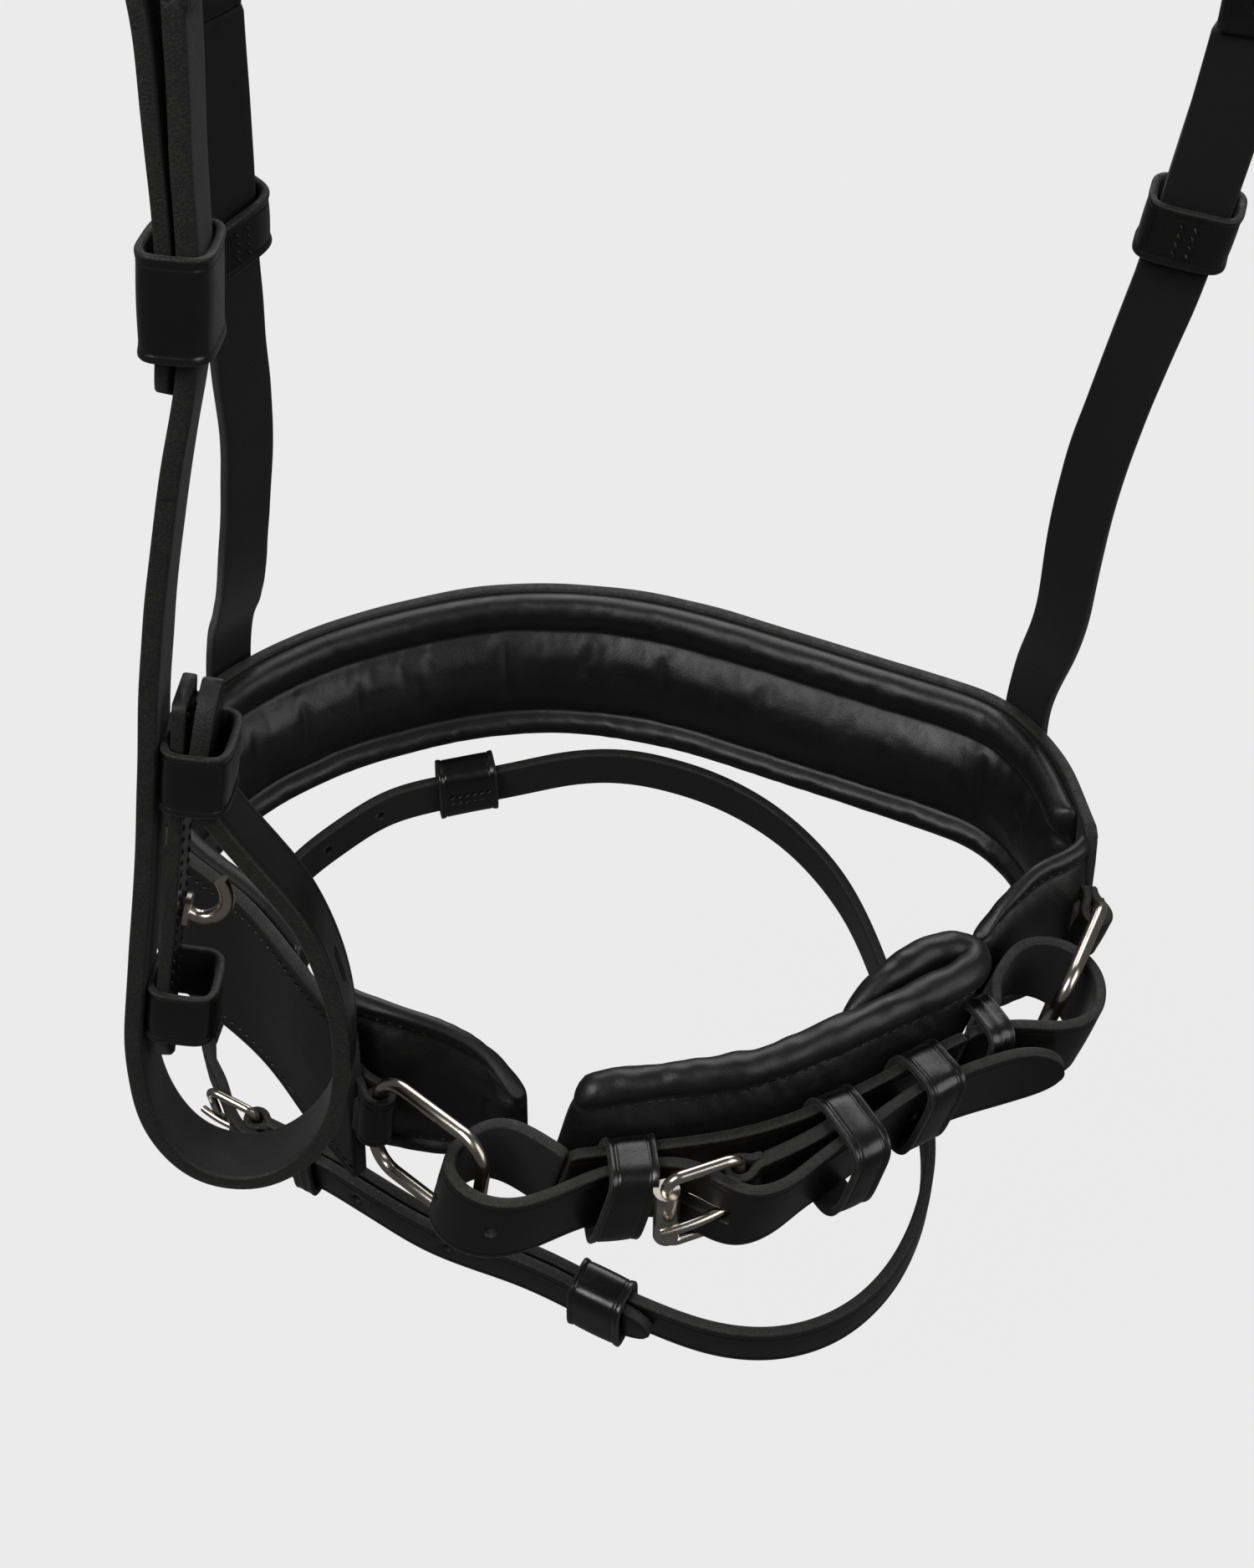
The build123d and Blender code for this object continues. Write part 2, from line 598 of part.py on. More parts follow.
right_frame, right_tongue = strap_buckle(right_eye, (0, 0, 1), right_out, 18,
                                         hanger_width + buckle_room, 2.8, 2.4)
save(right_frame, "right_hanger_buckle_frame")
save(right_tongue, "right_hanger_buckle_tongue")
left_frame, left_tongue = strap_buckle(left_eye, (0, 0, 1), left_out, 18,
                                       hanger_width + buckle_room, 2.8, 2.4)
save(left_frame, "left_hanger_buckle_frame")
save(left_tongue, "left_hanger_buckle_tongue")

right_keeper = keeper(Plane(origin=(98.4, 28.6, -239), x_dir=right_across, z_dir=(0.06, -0.17, 1)),
                      hanger_width + 1.4, hanger_leather * 2 + 3.2, 14)
save(right_keeper, "right_hanger_keeper")
left_keeper = keeper(Plane(origin=(-105.0, 8.8, -228), x_dir=left_across, z_dir=(0.11, -0.28, 1)),
                     hanger_width + 1.4, hanger_leather * 2 + 3.2, 14)
save(left_keeper, "left_hanger_keeper")

# ---- cheek headstrap with its billet and buckle -------------------------------------------------
cheek_across = (0, -0.98, 0.19)
cheek_headstrap = ribbon(over_poll(0.04, 1.0, 11, -9, -12, (0.0, 0.0)) + [
    ((-95.6, -19.2, -111), cheek_across),
    ((-92.5, -23.3, -124.3), cheek_across),
    ((-91.5, -25.7, -132.3), cheek_across),
    ((-91.5, -26.7, -140.3), cheek_across),
    ((-96.5, -28.3, -146.8), cheek_across),
    ((-101.6, -29.9, -153.3), cheek_across),
    ((-102.0, -32.1, -164.3), cheek_across),
    ((-102.2, -34.6, -177), cheek_across),
    ((-102.6, -37.2, -191), cheek_across),
    ((-104.6, -42.0, -217), cheek_across),
    ((-107.8, -45.0, -232), cheek_across),
], cheek_width, hanger_leather, 40)
cheek_headstrap = slot(cheek_headstrap, Plane(origin=(-96.1, -28.5, -147.3), x_dir=(0, 0.19, 0.98),
                                              z_dir=(1, 0, 0)), 20, 3.6, 16)
save(cheek_headstrap, "cheek_headstrap")

cheek_frame, cheek_tongue = strap_buckle(cheek_eye, (0, 0.19, 0.98), (-1, 0, 0), 18,
                                         cheek_width + buckle_room, 2.8, 2.4)
save(cheek_frame, "cheek_buckle_frame")
save(cheek_tongue, "cheek_buckle_tongue")
big_share = share_near(cheek_curve, (-99.6, -217))
big_keeper = keeper_on(cheek_curve, big_share, 2.5, -7.6, cheek_width + 3, 20, cheek_plane,
                       cheek_across)
save(big_keeper, "cheek_long_keeper")
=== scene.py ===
"""Looks of a black leather bridle headpiece with a padded crank noseband.

Straps are bevelled strips swept along the same lines as the solids they stand for, padded
parts are quilted cushions puffed up by a short cloth simulation, and the buckles, rings and
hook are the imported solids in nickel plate. Lengths are millimetres until a mesh is made.
"""

import logging
import math
from dataclasses import dataclass, field
from enum import Enum

import bmesh
import bpy
import numpy as np
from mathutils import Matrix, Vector, noise


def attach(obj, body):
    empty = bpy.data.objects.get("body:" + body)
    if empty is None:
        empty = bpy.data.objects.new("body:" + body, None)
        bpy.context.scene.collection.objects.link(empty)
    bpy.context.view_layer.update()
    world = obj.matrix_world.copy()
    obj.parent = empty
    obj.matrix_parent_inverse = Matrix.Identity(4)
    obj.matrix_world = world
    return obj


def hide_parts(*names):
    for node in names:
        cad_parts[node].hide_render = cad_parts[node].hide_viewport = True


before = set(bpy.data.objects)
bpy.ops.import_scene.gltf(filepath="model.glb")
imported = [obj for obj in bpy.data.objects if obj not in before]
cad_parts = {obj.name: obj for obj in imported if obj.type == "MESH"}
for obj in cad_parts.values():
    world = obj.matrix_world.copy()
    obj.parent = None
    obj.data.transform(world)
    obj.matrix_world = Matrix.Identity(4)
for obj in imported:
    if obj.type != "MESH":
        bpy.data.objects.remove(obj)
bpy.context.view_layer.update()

LOG = logging.getLogger("headpiece")
MM = 0.001
BODY = "headpiece"
NOSE_LEVEL = -430.0
UP = (0.0, 0.0, 1.0)
CRANK_LEAN = (0.25, 0.10, 1.0)
NOSE_LEAN = (0.0, 16.0, 45.0)
CHEEK_ACROSS = (0.0, -0.98, 0.19)

Spot = tuple[float, float, float]
Station = tuple[tuple[float, ...], tuple[float, ...]]
Cut = tuple[np.ndarray, np.ndarray, np.ndarray, Spot]

# How a saddler finishes a strap.
EDGE_ROUND = 0.75       # radius of a burnished edge
EDGE_SHARE = 0.7        # most of the half thickness that the radius may take
EDGE_TURNS = (0.5, 1.1, math.pi / 2)
CREASE_INSET = 1.9      # tooled line, from the edge
CREASE_HALF = 0.35
CREASE_SINK = 0.28
CREASED_FROM = 9.0      # narrower straps have no tooled line
SKIN_CROWN = 0.10       # how proud the middle of the grain side stands
SQUARE_REACH = 0.8      # a square end is eased over this length
SQUARE_END = 0.93       # and keeps this share of its width
EGG_REACH = 0.95        # an egg end is cut over this share of the width
EGG_END = 0.10
EGG_CURVE = 2.2
HOLE_SINK = 0.45        # the punch drags the grain down beside a hole
HOLE_SPREAD = 0.62
HOLE_FALL = 4
RIPPLE_PITCH = 0.055    # unevenness of a cut strap, per millimetre
SEAM_INSET = 3.6

# How a pad is stuffed.
STUFFING = 0.75
CLOTH_SCALE = 20.0      # the cloth solver works best on pieces about a metre long
CLOTH_FRAMES = 16


class Face(Enum):
    """Which surface of a piece of leather a face belongs to, as a material index."""

    GRAIN = 0
    FLESH = 1
    EDGE = 2


class Tip(Enum):
    """How the end of a strap is cut."""

    SQUARE = "square"
    EGG = "egg"


# ---- small maths ---------------------------------------------------------------------


def unit(vector: np.ndarray) -> np.ndarray:
    """Return the vector, or each row of it, at length one."""
    array = np.asarray(vector, dtype=float)
    return array / np.linalg.norm(array, axis=-1, keepdims=True)


def square_to(vector: np.ndarray, axis: np.ndarray) -> np.ndarray:
    """Return the part of a vector that is square to an axis, at length one."""
    straight = unit(axis)
    array = np.asarray(vector, dtype=float)
    return unit(array - straight * np.sum(array * straight, axis=-1, keepdims=True))


def walked(points: np.ndarray) -> np.ndarray:
    """Return the distance walked at each point of a chain."""
    return np.concatenate([[0.0], np.cumsum(np.linalg.norm(np.diff(points, axis=0), axis=1))])


def read_off(place: np.ndarray, marks: np.ndarray, rows: np.ndarray) -> np.ndarray:
    """Return the rows at places that lie evenly between the rows' own marks."""
    rows = np.asarray(rows, dtype=float)
    return np.stack([np.interp(place, marks, rows[:, axis]) for axis in range(rows.shape[1])], axis=-1)


def swept(points: np.ndarray, across: np.ndarray, wide: np.ndarray, normal: np.ndarray,
          deep: np.ndarray) -> np.ndarray:
    """Return a grid of points, each row moved across by wide and along its normal by deep."""
    return points[:, None, :] + across[:, None, :] * wide[:, :, None] + normal[:, None, :] * deep[:, :, None]


def vertex_places(data: bpy.types.Mesh) -> np.ndarray:
    """Return the places of a mesh's vertices as one flat array."""
    flat = np.empty(len(data.vertices) * 3)
    data.vertices.foreach_get("co", flat)
    return flat


def hex_colour(code: str) -> tuple[float, float, float, float]:
    """Turn an sRGB hex code into a linear colour.

    Args:
        code: Six hex digits after a hash.

    Returns:
        Linear red, green, blue and an alpha of one.
    """
    parts = [int(code[index:index + 2], 16) / 255 for index in (1, 3, 5)]
    linear = [part / 12.92 if part <= 0.04045 else ((part + 0.055) / 1.055) ** 2.4 for part in parts]
    return (linear[0], linear[1], linear[2], 1.0)


class Line:
    """A smooth line through points, walked by shares of its length."""

    def __init__(self, points: list[tuple[float, ...]]) -> None:
        """Fit a natural cubic through the points, spaced by their chords."""
        knots = np.array(points, dtype=float)
        chord = walked(knots)
        gaps = np.diff(chord)
        size = len(knots)
        matrix = np.eye(size)
        right = np.zeros_like(knots)
        for row in range(1, size - 1):
            matrix[row, row - 1:row + 2] = (gaps[row - 1], 2 * (gaps[row - 1] + gaps[row]), gaps[row])
            ahead = (knots[row + 1] - knots[row]) / gaps[row]
            behind = (knots[row] - knots[row - 1]) / gaps[row - 1]
            right[row] = 6 * (ahead - behind)
        bend = np.linalg.solve(matrix, right)
        walk = np.linspace(0, chord[-1], 60 * size)
        span = np.clip(np.searchsorted(chord, walk) - 1, 0, size - 2)
        gap = gaps[span][:, None]
        left = (chord[span + 1] - walk)[:, None]
        done = (walk - chord[span])[:, None]
        self.dense = (bend[span] * left ** 3 + bend[span + 1] * done ** 3) / (6 * gap) \
            + (knots[span] / gap - bend[span] * gap / 6) * left \
            + (knots[span + 1] / gap - bend[span + 1] * gap / 6) * done
        self.run = walked(self.dense)
        self.length = float(self.run[-1])

    def at(self, shares: np.ndarray) -> np.ndarray:
        """Return the points at shares of the length."""
        return read_off(np.asarray(shares, dtype=float) * self.length, self.run, self.dense)

    def heading(self, shares: np.ndarray) -> np.ndarray:
        """Return the directions at shares of the length."""
        step = 0.6 / self.length
        shares = np.asarray(shares, dtype=float)
        return unit(self.at(np.clip(shares + step, 0, 1)) - self.at(np.clip(shares - step, 0, 1)))

    def near(self, point: tuple[float, ...]) -> float:
        """Return the share of the length that comes nearest to a point."""
        gaps = np.linalg.norm(self.dense - np.array(point, dtype=float), axis=1)
        return float(self.run[int(np.argmin(gaps))] / self.length)


@dataclass(frozen=True)
class Board:
    """A flat drawing board in space, on which planar strap lines are drawn."""

    origin: Spot = (0.0, 0.0, NOSE_LEVEL)
    x_dir: Spot = (1.0, 0.0, 0.0)
    z_dir: Spot = UP

    def turn(self, flat: np.ndarray) -> np.ndarray:
        """Turn plan directions into directions in space."""
        across = unit(self.x_dir)
        normal = unit(self.z_dir)
        along = np.cross(normal, across)
        flat = np.asarray(flat, dtype=float)
        return flat[..., :1] * across + flat[..., 1:2] * along

    def place(self, flat: np.ndarray) -> np.ndarray:
        """Lift plan points into space."""
        return np.array(self.origin) + self.turn(flat)


NOSE_BOARD = Board()
TILT = math.radians(10.0)
FLASH_BOARD = Board((0.0, 0.0, -474.0), (1.0, 0.0, 0.0), (0.0, -math.sin(TILT), math.cos(TILT)))
CHEEK_BOARD = Board((0.0, 0.0, 0.0), (1.0, 0.0, 0.0), CHEEK_ACROSS)
POLL_BOARD = Board((0.0, 0.0, 0.0), (1.0, 0.0, 0.0), (0.0, -1.0, 0.0))

NOSE_LINE = Line([
    (-88, -62), (-102, -44), (-120, -20), (-143, 2), (-153, 24), (-146, 52), (-122, 79),
    (-90, 96), (-60, 104), (-33, 104), (-8, 98), (18, 87), (43, 75), (66, 64), (84, 53),
    (94, 38), (99, 20), (101, 4)])
TAB_LINE = Line([(-102.2, -43), (-93.5, -50.4), (-83, -55), (-70, -58), (-57, -61), (-48.5, -66)])
CHIN_LINE = Line([(-38, -83.6), (-24, -81.7), (-10, -79.8), (5, -76.6), (28, -67), (48, -55), (60, -48)])
BILLET_LINE = Line([
    (-38.9, -84.9), (-46, -79.6), (-55, -76), (-62.8, -79.8), (-66.5, -87.5), (-61.5, -95.5),
    (-51, -98.5), (-40, -94.8), (-30, -90.1), (-21.5, -87.8), (-14.2, -87.2), (-8.4, -88.3),
    (-2.2, -91.8), (6.2, -95.1), (14, -92.4), (21, -86.5), (28, -80.8), (36.5, -74), (46, -66.6),
    (58, -60.5), (70, -55.8), (80, -53.4), (88, -53)])
TURNBACK_LINE = Line([(4.7, -87.6), (13, -83.6), (21, -79), (26, -75.7), (30.5, -72.6)])
LOOP_LINE = Line([
    (61.8, -48.4), (68, -46.6), (76, -45.8), (86, -46), (93.3, -43), (97, -35), (95.5, -25),
    (89, -19), (80, -19.2), (74, -25.5), (70.5, -33), (69, -40), (65.4, -43.6)])
FLASH_LINE = Line([
    (-121, -35), (-107, -42), (-92, -50.5), (-75, -61), (-46, -72.5), (-27, -82), (-14, -88),
    (0, -93), (11, -94.5), (24, -93), (35, -88), (45, -79), (54, -64), (59, -45), (56.5, -15),
    (50, 14), (41, 40), (30, 57), (12, 73), (-9, 83), (-30, 86.5), (-49, 83.5), (-71, 78),
    (-95, 70.5), (-108, 60.5), (-120, 48), (-129.5, 30), (-137, 8), (-140, -6)])
CHEEK_LINE = Line([
    (-95.9, -164), (-96.9, -178), (-98, -192), (-99.8, -218), (-101.8, -230), (-105, -242), (-109.5, -259),
    (-113.6, -277), (-117.3, -296), (-120.5, -316), (-124, -338), (-128, -360), (-132.5, -384),
    (-134, -402), (-131, -420), (-123, -431), (-112.5, -433.5), (-101, -428.5), (-91, -415.5),
    (-87, -397), (-86.8, -384), (-88.5, -372), (-94.5, -353), (-101.5, -341), (-107.4, -331),
    (-110.5, -322), (-108.9, -311), (-106.3, -299)])
POLL_LINE = Line([(84, -92), (66, -45), (38, -13), (0, 0), (-38, -13), (-66, -45), (-84, -92)])


def left_of(headings: np.ndarray) -> np.ndarray:
    """Return the plan directions to the left of plan headings."""
    return np.stack([-headings[..., 1], headings[..., 0]], axis=-1)


@dataclass
class Run:
    """Where a strap goes: its middle line, the way its width lies and the way it faces."""

    points: np.ndarray
    across: np.ndarray
    normal: np.ndarray
    closed: bool = False

    @classmethod
    def on_board(cls, board: Board, line: Line, offset: float, start: float, stop: float,
                 lean: Spot, step: float = 1.5) -> "Run":
        """Lay a run beside a plan line.

        Args:
            board: The board that the line is drawn on.
            line: The plan line.
            offset: Distance to its left.
            start: First share of the line.
            stop: Last share of the line.
            lean: Direction of the strap's width.
            step: Distance between rows.

        Returns:
            The run.
        """
        count = max(4, int(line.length * (stop - start) / step))
        shares = np.linspace(start, stop, count + 1)
        side = left_of(line.heading(shares))
        points = board.place(line.at(shares) + side * offset)
        across = np.tile(unit(lean), (count + 1, 1))
        return cls(points, across, board.turn(side))

    @classmethod
    def through(cls, stations: list[Station], step: float = 1.6) -> "Run":
        """Lay a run through stations of a place and a direction across, which turn evenly."""
        line = Line([place for place, across in stations])
        marks = [line.near(place) for place, across in stations]
        count = int(line.length / step)
        shares = np.linspace(0, 1, count + 1)
        turned = read_off(shares, marks, [across for place, across in stations])
        along = line.heading(shares)
        across = square_to(turned, along)
        return cls(line.at(shares), across, np.cross(along, across))

    def walk(self) -> np.ndarray:
        """Return the distance walked at each row."""
        return walked(self.points)

    def spot(self, share: float) -> tuple[np.ndarray, np.ndarray, np.ndarray]:
        """Return the place, across and normal at a share of the walk."""
        index = int(round(share * (len(self.points) - 1)))
        return self.points[index], self.across[index], self.normal[index]


# ---- materials -------------------------------------------------------------------------


def add_node(tree: bpy.types.NodeTree, kind: str, settings: dict,
             **links: bpy.types.NodeSocket) -> bpy.types.Node:
    """Add a node with its settings and links.

    Args:
        tree: The node tree.
        kind: The node type.
        settings: Values by attribute name, or by input name or number.
        **links: Source sockets by input name, spaces as underscores, or in0, in1 for numbers.

    Returns:
        The new node.
    """
    node = tree.nodes.new(kind)
    for key, value in settings.items():
        if isinstance(key, int) or key in node.inputs:
            node.inputs[key].default_value = value
        else:
            setattr(node, key, value)
    for key, source in links.items():
        number = key[2:]
        name = int(number) if key.startswith("in") and number.isdigit() else key.replace("_", " ")
        tree.links.new(source, node.inputs[name])
    return node


def new_material(name: str) -> tuple[bpy.types.Material, bpy.types.NodeTree, bpy.types.Node]:
    """Make an empty node material and return it with its tree and output node."""
    material = bpy.data.materials.new(name)
    material.use_nodes = True
    tree = material.node_tree
    tree.nodes.clear()
    return material, tree, tree.nodes.new("ShaderNodeOutputMaterial")


@dataclass(frozen=True)
class LeatherFinish:
    """One surface of dyed leather: its dye, its lighter tone for rubbing and painted highlight, its gloss and
    the size of its grain.
    """

    name: str
    dye: str
    worn_and_highlight: str
    tone: str
    gloss_low: float
    gloss_high: float
    grain_mm: float
    grain_depth_mm: float
    crease_mm: float
    crease_depth_mm: float
    sheen: float
    polish: float

    def make(self) -> bpy.types.Material:
        """Build the leather: pebbled grain over slow creases, brown bloom, and corners and edges painted in a
        lighter tone that is partly rubbing and partly painted highlight.
        """
        material, tree, output = new_material(self.name)
        where = add_node(tree, "ShaderNodeTexCoord", {}).outputs["Object"]
        pebble = add_node(tree, "ShaderNodeTexVoronoi",
                          {"feature": "DISTANCE_TO_EDGE", "Scale": 1000 / self.grain_mm, "Randomness": 0.95},
                          Vector=where)
        fine = add_node(tree, "ShaderNodeTexNoise",
                        {"Scale": 1000 / (self.grain_mm * 0.6), "Detail": 4.0, "Roughness": 0.65}, Vector=where)
        slow = add_node(tree, "ShaderNodeTexNoise",
                        {"Scale": 1000 / self.crease_mm, "Detail": 5.0, "Roughness": 0.6, "Distortion": 0.8},
                        Vector=where)
        bloom = add_node(tree, "ShaderNodeTexNoise", {"Scale": 1000 / 38, "Detail": 2.0}, Vector=where)
        # The wear attribute paints corners, edges and hole rims in the lighter tone: partly rubbed leather,
        # partly a painted highlight along the edges.
        wear_and_highlight = add_node(tree, "ShaderNodeAttribute", {"attribute_name": "wear_and_highlight"})
        bloom_share = add_node(tree, "ShaderNodeMapRange",
                               {"From Min": 0.42, "From Max": 0.72, "To Max": 0.55}, Value=bloom.outputs["Fac"])
        body = add_node(tree, "ShaderNodeMix",
                        {"data_type": "RGBA", 6: hex_colour(self.dye), 7: hex_colour(self.tone)},
                        in0=bloom_share.outputs["Result"])
        fibres = add_node(tree, "ShaderNodeMapRange", {"From Min": 0.46, "From Max": 0.68},
                          Value=fine.outputs["Fac"])
        rubbed_and_highlit = add_node(tree, "ShaderNodeMath", {"operation": "MULTIPLY"},
                          in0=wear_and_highlight.outputs["Fac"], in1=fibres.outputs["Result"])
        worn_and_highlight = add_node(tree, "ShaderNodeMix", {"data_type": "RGBA", 7: hex_colour(self.worn_and_highlight)},
                        in0=rubbed_and_highlit.outputs["Value"], in6=body.outputs[2])
        gloss = add_node(tree, "ShaderNodeMapRange",
                         {"From Min": 0.3, "From Max": 0.7,
                          "To Min": self.gloss_low, "To Max": self.gloss_high},
                         Value=slow.outputs["Fac"])
        crease = add_node(tree, "ShaderNodeBump",
                          {"Strength": 0.6, "Distance": self.crease_depth_mm * MM}, Height=slow.outputs["Fac"])
        pebbles = add_node(tree, "ShaderNodeBump",
                           {"Strength": 0.55, "Distance": self.grain_depth_mm * MM},
                           Height=pebble.outputs["Distance"], Normal=crease.outputs["Normal"])
        pores = add_node(tree, "ShaderNodeBump",
                         {"Strength": 0.4, "Distance": self.grain_depth_mm * 0.7 * MM},
                         Height=fine.outputs["Fac"], Normal=pebbles.outputs["Normal"])
        shader = add_node(tree, "ShaderNodeBsdfPrincipled",
                          {"IOR": 1.5, "Sheen Weight": self.sheen, "Sheen Roughness": 0.45,
                           "Coat Weight": self.polish, "Coat Roughness": 0.28},
                          Base_Color=worn_and_highlight.outputs[2], Roughness=gloss.outputs["Result"],
                          Normal=pores.outputs["Normal"])
        tree.links.new(shader.outputs["BSDF"], output.inputs["Surface"])
        return material


@dataclass(frozen=True)
class NickelFinish:
    """Polished nickel plate over steel: warm grey metal with hairlines from buffing."""

    name: str = "polished_nickel_plate"
    metal: str = "#cfc9be"
    dull: str = "#a39c90"
    roughness: float = 0.13
    hairline_mm: float = 0.5

    def make(self) -> bpy.types.Material:
        """Build the plate with faint buffing lines and a little tarnish."""
        material, tree, output = new_material(self.name)
        where = add_node(tree, "ShaderNodeTexCoord", {}).outputs["Object"]
        haze = add_node(tree, "ShaderNodeTexNoise", {"Scale": 1000 / 7, "Detail": 4.0}, Vector=where)
        lines = add_node(tree, "ShaderNodeTexNoise", {"Scale": 1000 / self.hairline_mm, "Detail": 3.0},
                         Vector=where)
        tint = add_node(tree, "ShaderNodeMapRange", {"From Min": 0.5, "From Max": 0.8},
                        Value=haze.outputs["Fac"])
        colour = add_node(tree, "ShaderNodeMix",
                          {"data_type": "RGBA", 6: hex_colour(self.metal), 7: hex_colour(self.dull)},
                          in0=tint.outputs["Result"])
        gloss = add_node(tree, "ShaderNodeMapRange",
                         {"To Min": self.roughness, "To Max": self.roughness + 0.16}, Value=haze.outputs["Fac"])
        relief = add_node(tree, "ShaderNodeBump", {"Strength": 0.12, "Distance": 0.03 * MM},
                          Height=lines.outputs["Fac"])
        shader = add_node(tree, "ShaderNodeBsdfPrincipled", {"Metallic": 1.0},
                          Base_Color=colour.outputs[2], Roughness=gloss.outputs["Result"],
                          Normal=relief.outputs["Normal"])
        tree.links.new(shader.outputs["BSDF"], output.inputs["Surface"])
        return material


@dataclass(frozen=True)
class ThreadFinish:
    """Waxed black polyester thread, laid in two plies that show as a fine twist."""

    name: str = "waxed_black_thread"
    dye: str = "#0c0b0b"
    wax: str = "#24221f"
    ply_mm: float = 0.6

    def make(self) -> bpy.types.Material:
        """Build the thread with its twist and a soft wax shine."""
        material, tree, output = new_material(self.name)
        where = add_node(tree, "ShaderNodeTexCoord", {}).outputs["Object"]
        twist = add_node(tree, "ShaderNodeTexWave",
                         {"bands_direction": "DIAGONAL", "Scale": 1000 / self.ply_mm / 3.14, "Distortion": 0.6},
                         Vector=where)
        colour = add_node(tree, "ShaderNodeMix",
                          {"data_type": "RGBA", 6: hex_colour(self.dye), 7: hex_colour(self.wax)},
                          in0=twist.outputs["Fac"])
        relief = add_node(tree, "ShaderNodeBump", {"Strength": 0.5, "Distance": 0.08 * MM},
                          Height=twist.outputs["Fac"])
        shader = add_node(tree, "ShaderNodeBsdfPrincipled", {"Roughness": 0.42, "IOR": 1.53},
                          Base_Color=colour.outputs[2], Normal=relief.outputs["Normal"])
        tree.links.new(shader.outputs["BSDF"], output.inputs["Surface"])
        return material


@dataclass(frozen=True)
class PaperFinish:
    """Matte studio paper for the floor."""

    name: str = "studio_paper"
    colour: str = "#ebebeb"
    shade: str = "#303030"
    glow: float = 0.97

    def make(self) -> bpy.types.Material:
        """Build plain matte paper."""
        material, tree, output = new_material(self.name)
        shader = add_node(tree, "ShaderNodeBsdfPrincipled",
                          {"Base Color": hex_colour(self.shade), "Roughness": 0.95, "Specular IOR Level": 0.0,
                           "Emission Color": hex_colour(self.colour), "Emission Strength": self.glow})
        tree.links.new(shader.outputs["BSDF"], output.inputs["Surface"])
        return material


# Vegetable-tanned bridle leather, drum-dyed black, waxed and plated smooth on the grain side:
# a tight fine grain, a semi-gloss skin and a brown bloom where the dye has thinned.
BRIDLE_GRAIN = LeatherFinish("bridle_leather_grain", "#0a0a0a", "#242220", "#17110e", 0.30, 0.46, 0.55, 0.05,
                             9.0, 0.18, 0.0, 0.25)
# The same hide rubbed with a bone for the keepers: the wax closes the grain to a wet-looking shine.
BONED_GRAIN = LeatherFinish("boned_keeper_leather", "#090909", "#2b2826", "#120f0d", 0.20, 0.33, 0.5, 0.035,
                            7.0, 0.22, 0.0, 0.45)
# The flesh side of the same hide, sueded and dyed: a short dull nap without shine.
BRIDLE_FLESH = LeatherFinish("bridle_leather_flesh", "#0c0c0c", "#1d1c1b", "#121110", 0.78, 0.92, 0.9, 0.18,
                             5.0, 0.20, 0.10, 0.0)
# Cut edges, dyed and lightly burnished: the grey fuzz where short fibres catch the light is painted in as a
# lighter edge colour, a painted highlight, over a little real sheen.
BRIDLE_EDGE = LeatherFinish("bridle_leather_cut_edge", "#0c0c0b", "#2a2826", "#151311", 0.50, 0.74, 0.8, 0.20,
                            3.0, 0.16, 0.14, 0.0)
# Soft chrome-tanned nappa over foam on the padded parts: fine pebble, gentle creases, low gloss.
NAPPA = LeatherFinish("soft_nappa_lining", "#0a0a0a", "#1c1a19", "#0f0e0d", 0.36, 0.50, 0.8, 0.07,
                      12.0, 0.35, 0.04, 0.05)


@dataclass
class Bench:
    """The work bench: it holds the materials and signs every finished piece over to the frame."""

    grain: bpy.types.Material = None
    boned: bpy.types.Material = None
    flesh: bpy.types.Material = None
    edge: bpy.types.Material = None
    nappa: bpy.types.Material = None
    thread: bpy.types.Material = None
    nickel: bpy.types.Material = None
    made: int = 0

    def stock(self) -> None:
        """Make every material once."""
        self.grain = BRIDLE_GRAIN.make()
        self.boned = BONED_GRAIN.make()
        self.flesh = BRIDLE_FLESH.make()
        self.edge = BRIDLE_EDGE.make()
        self.nappa = NAPPA.make()
        self.thread = ThreadFinish().make()
        self.nickel = NickelFinish().make()

    def mesh(self, name: str, points: np.ndarray, faces: list[tuple[int, ...]], kinds: list[int],
             wear_and_highlight: np.ndarray, materials: list[bpy.types.Material]) -> bpy.types.Object:
        """Make a mesh object from millimetre points.

        Args:
            name: The piece's name.
            points: Vertices in millimetres.
            faces: Vertex numbers of each face.
            kinds: Material index of each face.
            wear_and_highlight: How much each vertex is painted in the lighter tone, from 0 to 1, partly as
                rubbing and partly as a painted highlight along the edges.
            materials: The material slots.

        Returns:
            The object, smooth shaded and linked to the scene.
        """
        data = bpy.data.meshes.new(name)
        data.from_pydata((points * MM).tolist(), [], faces)
        for material in materials:
            data.materials.append(material)
        data.polygons.foreach_set("material_index", kinds)
        data.polygons.foreach_set("use_smooth", [True] * len(faces))
        layer = data.attributes.new("wear_and_highlight", "FLOAT", "POINT")
        layer.data.foreach_set("value", wear_and_highlight.astype(np.float32))
        data.validate()
        data.update()
        piece = bpy.data.objects.new(name, data)
        bpy.context.scene.collection.objects.link(piece)
        return piece

    def sign(self, piece: bpy.types.Object, slot: str, nodes: tuple[str, ...] = (), body: str = BODY,
             fill: float = -1.0) -> bpy.types.Object:
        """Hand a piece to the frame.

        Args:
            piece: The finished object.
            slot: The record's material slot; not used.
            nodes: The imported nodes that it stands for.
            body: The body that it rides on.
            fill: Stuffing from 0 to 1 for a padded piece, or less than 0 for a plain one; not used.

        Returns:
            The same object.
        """
        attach(piece, body)
        if nodes:
            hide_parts(*nodes)
        self.made += 1
        LOG.info("made %s", piece.name)
        return piece


BENCH = Bench()


